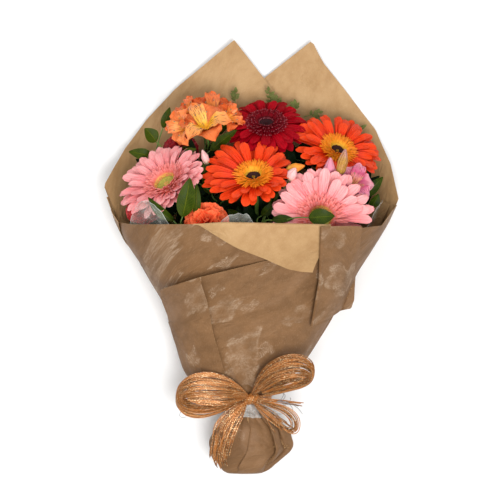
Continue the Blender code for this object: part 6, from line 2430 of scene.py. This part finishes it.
def build_flowers() -> None:
    """Builds every flower of the bouquet."""
    gerberas = (
        Gerbera("gerbera_orange_centre", "centre_orange_gerbera", (0.004, 0.057, 0.1065), 46, 98, 0.052, 13, 0,
                ORANGE_RAYS, ORANGE_SHORT, DARK_DISC, YELLOW_DOTS, 21, (22, 18, 10), (0.27, 135.0)),
        Gerbera("gerbera_orange_right", "right_orange_gerbera", (0.098, 0.088, 0.06), 46, 67, 0.0525, 12, 0,
                ORANGE_RAYS, ORANGE_SHORT, DARK_DISC, YELLOW_DOTS, 22, (24, 20, 12), (0.07, 80.0)),
        Gerbera("gerbera_red", "dark_red_gerbera", (0.0183, 0.119, 0.056), 54, 90, 0.048, -2, 10,
                RED_RAYS, RED_SHORT, RED_DISC, ROSE_DOTS, 23, (23, 20, 15), (0.06, 80.0), width=1.12),
        Gerbera("gerbera_pink_left", "left_pink_gerbera", (-0.0925, 0.05, 0.09), 52, 124, 0.0535, 16, 0,
                PINK_RAYS, PINK_SHORT, GREEN_DISC, PALE_DOTS, 24, (26, 23, 18), (0.22, 142.0),
                PINK_RING, 0.0112, short_half=0.00125),
        Gerbera("gerbera_pink_right", "right_pink_gerbera", (0.078, 0.012, 0.119), 20, 90, 0.0585, 9, 4,
                PINK_RAYS, PINK_SHORT, GREEN_DISC, PALE_DOTS, 25, (25, 22, 16), (0.06, 70.0),
                PINK_RING, 0.0112, 1.06, 0.00125),
    )
    for flower in gerberas:
        flower.make()
    peach = Petal(
        "peach_tepals", (0.86, 0.36, 0.06), (0.88, 0.28, 0.085), (0.82, 0.19, 0.045), (0.6, 0.09, 0.015),
    )
    deep = Petal(
        "deep_orange_tepals", (0.8, 0.26, 0.03), (0.7, 0.105, 0.018), (0.78, 0.15, 0.028), (0.4, 0.04, 0.008),
    )
    golden = StreakedTepal(
        "streaked_tepals", (0.93, 0.54, 0.02), (0.88, 0.36, 0.08), (0.82, 0.2, 0.04), (0.09, 0.012, 0.006),
    )
    apricot = StreakedTepal(
        "apricot_tepals", (0.86, 0.38, 0.04), (0.87, 0.26, 0.065), (0.84, 0.19, 0.045), (0.42, 0.07, 0.012),
    )
    ruddy = StreakedTepal(
        "ruddy_tepals", (0.84, 0.34, 0.03), (0.78, 0.17, 0.03), (0.78, 0.14, 0.025), (0.36, 0.04, 0.01),
    )
    mauve = Petal(
        "mauve_tepals", (0.56, 0.11, 0.2), (0.6, 0.09, 0.2), (0.86, 0.46, 0.5), (0.34, 0.02, 0.08),
        tip_from=0.6,
    )
    rosy = StreakedTepal(
        "rosy_tepals", (0.78, 0.36, 0.12), (0.52, 0.06, 0.16), (0.8, 0.34, 0.42), (0.22, 0.01, 0.04),
    )
    pale = Petal("pale_bud", (0.55, 0.5, 0.22), (0.86, 0.52, 0.5), (0.9, 0.66, 0.62), (0.72, 0.2, 0.24))
    rose = Petal("rose_bud", (0.7, 0.24, 0.34), (0.82, 0.33, 0.44), (0.86, 0.42, 0.5), (0.5, 0.07, 0.16))
    striped = Petal(
        "striped_bud", (0.5, 0.36, 0.05), (0.72, 0.42, 0.08), (0.88, 0.48, 0.52), (0.22, 0.06, 0.01), 16.0, 0.9,
        tip_from=0.62,
    )
    amber = Petal("amber_bud", (0.7, 0.42, 0.08), (0.9, 0.38, 0.04), (0.9, 0.24, 0.03), (0.6, 0.2, 0.02))
    first, second, third = (f"alstroemeria_orange_floret_{number}" for number in (1, 2, 3))
    orange_florets = (
        Floret(first, (-0.049, 0.108, 0.07), 42, 100, 0.03, 0.1, 1.05, peach, golden),
        Floret(second, (-0.043, 0.127, 0.043), 50, 78, 0.025, 0.15, 0.5, deep, ruddy),
        Floret(third, (-0.0655, 0.1165, 0.06), 46, 186, 0.0225, -0.1, 0.05, peach, apricot),
        Floret(second, (-0.029, 0.123, 0.054), 44, 30, 0.018, 0.0, 0.3, deep, ruddy),
        Floret(third, (-0.064, 0.13, 0.047), 50, 130, 0.017, 0.0, 0.8, deep, ruddy),
    )
    Alstroemeria(
        "alstroemeria_orange", (-0.05, 0.098, 0.032), (0.0, 0.7, 0.6), (
            Leaf((-0.045, 0.0889, 0.058), (-0.0146, 0.112, 0.064), 0.0064),
            Leaf((-0.0349, 0.108, 0.046), (-0.0215, 0.125, 0.05), 0.0046),
            Leaf((-0.06, 0.085, 0.06), (-0.076, 0.093, 0.064), 0.0042),
        ), orange_florets, (
            Bud("alstroemeria_orange_bud", (-0.0475, 0.072, 0.087), (-0.053, 0.088, 0.092), 0.0038, pale),
        ),
        "petals_apricot", 31,
    ).make()
    Alstroemeria(
        "alstroemeria_pink", (0.106, 0.033, 0.06), (0.1, 0.5, 0.8), (
            Leaf((0.1, 0.04, 0.072), (0.084, 0.054, 0.077), 0.005),
        ), (
            Floret("alstroemeria_pink_floret", (0.112, 0.045, 0.085), 34, 62, 0.0235, 0.05, 0.0, mauve, rosy),
        ), (
            Bud("alstroemeria_pink_bud", (0.099, 0.058, 0.099), (0.1055, 0.088, 0.105), 0.0058, striped),
            Bud("alstroemeria_pink_bud", (0.087, 0.054, 0.096), (0.089, 0.079, 0.101), 0.0062, rose),
        ),
        "petals_magenta", 33,
    ).make()
    Alstroemeria(
        "alstroemeria_small", (0.042, 0.036, 0.066), (0.0, 0.4, 0.9), (
            Leaf((0.038, 0.043, 0.079), (0.04, 0.059, 0.085), 0.0036),
            Leaf((0.04, 0.04, 0.079), (0.033, 0.052, 0.085), 0.003),
        ), (), (
            Bud("alstroemeria_small_bud", (0.043, 0.054, 0.108), (0.05, 0.067, 0.115), 0.0056, pale),
            Bud("alstroemeria_small_bud", (0.04, 0.066, 0.101), (0.06, 0.07, 0.108), 0.0048, amber),
        ),
        "petals_pale", 35,
    ).make()
    coral = Petal(
        "coral_ruffles", (0.78, 0.045, 0.012), (0.95, 0.11, 0.03), (0.98, 0.2, 0.07), (0.74, 0.03, 0.008),
    )
    crimson = Petal(
        "crimson_ruffles", (0.3, 0.004, 0.01), (0.56, 0.01, 0.018), (0.72, 0.06, 0.06), (0.28, 0.003, 0.008),
    )
    # The back red carnation is the same red as the front one, darkened: painted shade for where it lies deep in
    # the bouquet
    shade_darkened_red = Petal(
        "red_ruffles_darkened_as_shade", (0.12, 0.001, 0.006), (0.26, 0.003, 0.01), (0.36, 0.012, 0.02), (0.1, 0.001, 0.004),
    )
    for node, name, place, skin, slot, seed in (
        ("carnation_orange", "coral", ((-0.047, 0.005, 0.116), 8, 92, 0.0245), coral, "petals_orange", 41),
        ("carnation_red_front", "crimson", ((-0.119, 0.024, 0.068), 16, 110, 0.019), crimson, "petals_red", 42),
        ("carnation_red_back", "shade_darkened_red", ((-0.0775, 0.088, 0.04), 20, 100, 0.02), shade_darkened_red, "petals_red", 43),
    ):
        Carnation(node, f"{name}_carnation", *place, skin, slot, seed).make()


@dataclass(frozen=True)
class Thicket:
    """A patch of leaves deep between the stems, coloured near black as painted shade in the gaps: its box, how
    many leaves, and their half width.
    """

    low: Point
    high: Point
    count: int
    half: float
    seed: int
    length: tuple[float, float] = (0.026, 0.042)

    def inside(self, points: Array) -> Array:
        """Points moved in from the wrap's sides and up from its back.

        Args:
            points: One a row.

        Returns:
            The moved points.
        """
        left, right, low, crease = FORM.section(points[:, 1])[:4]
        middle, half = (left + right) / 2, (right - left) / 2
        x = np.clip(points[:, 0], middle - 0.84 * half, middle + 0.84 * half)
        ramp = np.maximum(0.0, (np.abs(x - middle) / half - FLAT_SHARE) / (1 - FLAT_SHARE)) ** 2
        return joined(x, points[:, 1], np.maximum(points[:, 2], low + (crease - low) * ramp + 0.01))

    def leaves(self) -> tuple[Leaf, ...]:
        """Leaves with seeded places and directions that fan out towards the flowers.

        Returns:
            One leaf for each place.
        """
        rng, many = np.random.default_rng(self.seed), self.count
        base = rng.uniform(self.low, self.high, (many, 3))
        turn = np.radians(rng.uniform(15, 165, many))
        long = rng.uniform(*self.length, many)
        rise = rng.uniform(-0.1, 0.35, many)
        tip = base + long[:, None] * joined(np.cos(turn), np.sin(turn), rise)
        half = self.half * rng.uniform(0.8, 1.15, many)
        facing = joined(rng.uniform(-0.4, 0.4, many), rng.uniform(-0.5, 0.3, many), 1.0)
        return tuple(Leaf(*values) for values in zip(self.inside(base), self.inside(tip), half, facing))


def build_greens() -> None:
    """Builds the leafy stems and the sprig."""
    # Patches of leaves in the near-black finish, painted shade between the blooms
    left = Thicket((-0.105, -0.03, 0.022), (-0.04, 0.07, 0.05), 34, 0.0095, 71)
    middle = Thicket((-0.055, -0.045, 0.028), (0.03, 0.03, 0.07), 40, 0.0095, 72)
    back = Thicket((-0.01, 0.0, 0.018), (0.08, 0.085, 0.036), 40, 0.0095, 73)
    right = Thicket((0.06, -0.02, 0.022), (0.125, 0.045, 0.05), 34, 0.009, 74)
    plants = (
        LeafyStem("foliage_left", (-0.108, 0.082, 0.04), (-0.4, 0.8, 0.4), (
            Leaf((-0.0985, 0.115, 0.046), (-0.0905, 0.138, 0.05), 0.0056),
            Leaf((-0.106, 0.099, 0.052), (-0.1185, 0.114, 0.056), 0.0085),
            Leaf((-0.109, 0.082, 0.048), (-0.137, 0.088, 0.05), 0.007, (0, 0.1, 1)),
        ), "leaf", FRESH_LEAF, 51),
        LeafyStem("foliage_deep_left", (-0.064, 0.06, 0.066), (0.0, 0.5, 0.8), (
            Leaf((-0.074, 0.083, 0.076), (-0.06, 0.09, 0.082), 0.0045),
            Leaf((-0.046, 0.052, 0.083), (-0.053, 0.0775, 0.087), 0.0072, (0.2, -0.1, 1)),
        ), "leaf_dark", FRESH_LEAF, 52, left.leaves()),
        LeafyStem("foliage_front_left", (-0.063, 0.006, 0.108), (-0.1, 0.3, 0.9), (
            Leaf((-0.074, 0.013, 0.127), (-0.0655, 0.056, 0.138), 0.0105, (-0.1, -0.2, 1)),
            Leaf((-0.059, 0.015, 0.126), (-0.0585, 0.05, 0.133), 0.0052, (0.2, -0.2, 1)),
            Leaf((-0.084, 0.009, 0.12), (-0.112, 0.035, 0.12), 0.006, (0.0, -0.2, 1)),
        ), "leaf", FRESH_LEAF, 53),
        LeafyStem("foliage_middle", (-0.033, 0.03, 0.05), (0.0, 0.6, 0.7), (
            Leaf((-0.043, 0.04, 0.058), (-0.052, 0.062, 0.06), 0.0085),
            Leaf((-0.029, 0.033, 0.06), (-0.01, 0.048, 0.064), 0.008),
            Leaf((-0.012, 0.012, 0.09), (-0.024, 0.022, 0.098), 0.006, (0, 0, 1)),
        ), "leaf_dark", MIDDLE_LEAF, 54, middle.leaves()),
        LeafyStem("foliage_front_right", (0.016, 0.002, 0.118), (0.2, 0.3, 0.9), (
            Leaf((0.064, 0.0125, 0.135), (0.0925, 0.014, 0.139), 0.0098, (0, 0.2, 1)),
            Leaf((0.024, 0.0095, 0.127), (0.048, 0.011, 0.13), 0.005, (0, 0.2, 1)),
            Leaf((0.02, 0.02, 0.1), (0.037, 0.056, 0.102), 0.0016, (0, 0, 1)),
            Leaf((0.017, 0.017, 0.096), (0.029, 0.046, 0.098), 0.0014, (0, 0, 1)),
            Leaf((0.013, 0.015, 0.098), (0.027, 0.03, 0.102), 0.0055, (0, 0, 1)),
        ), "leaf", MIDDLE_LEAF, 55),
        # This stem's own leaves also take the near-black finish, painted shade
        LeafyStem("foliage_deep_right", (0.044, 0.05, 0.04), (0.1, 0.7, 0.6), (
            Leaf((0.047, 0.071, 0.05), (0.042, 0.096, 0.05), 0.008),
            Leaf((0.033, 0.048, 0.054), (0.025, 0.026, 0.062), 0.008, (0, 0, 1)),
        ), "leaf_dark", SHADE_DARKENED_LEAF, 56, back.leaves()),
        LeafyStem("foliage_right", (0.126, 0.02, 0.048), (0.3, 0.6, 0.7), (
            Leaf((0.13, 0.037, 0.066), (0.149, 0.059, 0.07), 0.0066, (0.2, 0, 1)),
            Leaf((0.123, 0.04, 0.062), (0.13, 0.06, 0.064), 0.0085, (0, 0, 1)),
            Leaf((0.136, 0.025, 0.064), (0.144, 0.04, 0.068), 0.006, (0.3, 0, 1)),
        ), "leaf_dark", MIDDLE_LEAF, 57, right.leaves()),
        LeafyStem("sprig_back", (0.018, 0.128, 0.012), (0.0, 1.0, 0.05), (
            Leaf((0.1256, 0.115, 0.011), (0.1336, 0.1205, 0.013), 0.0024),
        ), "leaf", SPRIG_LEAF, 58, sprigs=(
            ((-0.017, 0.147, 0.015), (-0.0165, 0.157, 0.0165)),
            ((0.0245, 0.144, 0.015), (0.0215, 0.159, 0.017)),
            ((0.033, 0.142, 0.015), (0.031, 0.15, 0.016)), ((0.052, 0.137, 0.014), (0.0515, 0.1435, 0.015)),
            ((0.068, 0.131, 0.013), (0.079, 0.134, 0.014)),
        )),
    )
    for plant in plants:
        plant.make()


@dataclass
class Studio:
    """A pale floor, soft lights and the camera straight above, as the photograph has them."""

    camera_place: Point = (0.0, -0.023, 2.75)
    seen_width: float = 0.575
    floor_half: float = 3.0
    aim: Point = (0.0, 0.0, 0.05)
    # Name, place, size and power
    lights: tuple[tuple[str, Point, float, float], ...] = (
        ("key_light", (0.3, -0.46, 1.6), 0.9, 27.0),
        ("fill_light", (-0.7, 0.45, 1.4), 1.4, 12.0),
        ("back_light", (0.1, 1.25, 0.95), 0.9, 4.0),
    )

    def floor(self) -> None:
        """A pale sheet under the bouquet."""
        size = self.floor_half
        mesh = bpy.data.meshes.new("studio_floor")
        corners = [(-size, -size, 0), (size, -size, 0), (size, size, 0), (-size, size, 0)]
        mesh.from_pydata(corners, [], [(0, 1, 2, 3)])
        floor = bpy.data.objects.new("studio_floor", mesh)
        bpy.context.scene.collection.objects.link(floor)
        m = Mixture("floor_paper")
        tint = m.noise(m.places("Object"), 2.0, 2)
        mesh.materials.append(m.done(m.mix(tint, (0.9, 0.9, 0.9), (0.93, 0.93, 0.925)), 0.85))

    def make(self) -> None:
        """Puts up the floor, the lights and the camera."""
        self.floor()
        for name, place, size, power in self.lights:
            light = bpy.data.lights.new(name, "AREA")
            light.size, light.energy = size, power
            lamp = bpy.data.objects.new(name, light)
            lamp.location = place
            aim = Vector(self.aim) - Vector(place)
            lamp.rotation_euler = aim.to_track_quat("-Z", "Y").to_euler()
            bpy.context.scene.collection.objects.link(lamp)
        world = bpy.data.worlds.new("soft_surroundings")
        world.use_nodes = True
        sky = world.node_tree.nodes["Background"].inputs
        sky["Color"].default_value, sky["Strength"].default_value = (1.0, 0.985, 0.97, 1.0), 0.3
        bpy.context.scene.world = world
        camera = bpy.data.objects.new("camera", bpy.data.cameras.new("camera"))
        camera.location = self.camera_place
        camera.data.lens = SENSOR_WIDTH * self.camera_place[2] / self.seen_width
        camera.data.sensor_width = SENSOR_WIDTH
        bpy.context.scene.collection.objects.link(camera)
        bpy.context.scene.camera = camera
        bpy.context.scene.view_settings.view_transform = "Standard"


def main() -> None:
    """Builds the bouquet in order."""
    logging.basicConfig(level=logging.INFO, format="%(message)s")
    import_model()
    Studio().make()
    PaperWrap().make()
    ClearWrap().make()
    RibbonBow().make()
    StemBinding().make()
    build_flowers()
    build_greens()


if __name__ == "__main__":
    main()
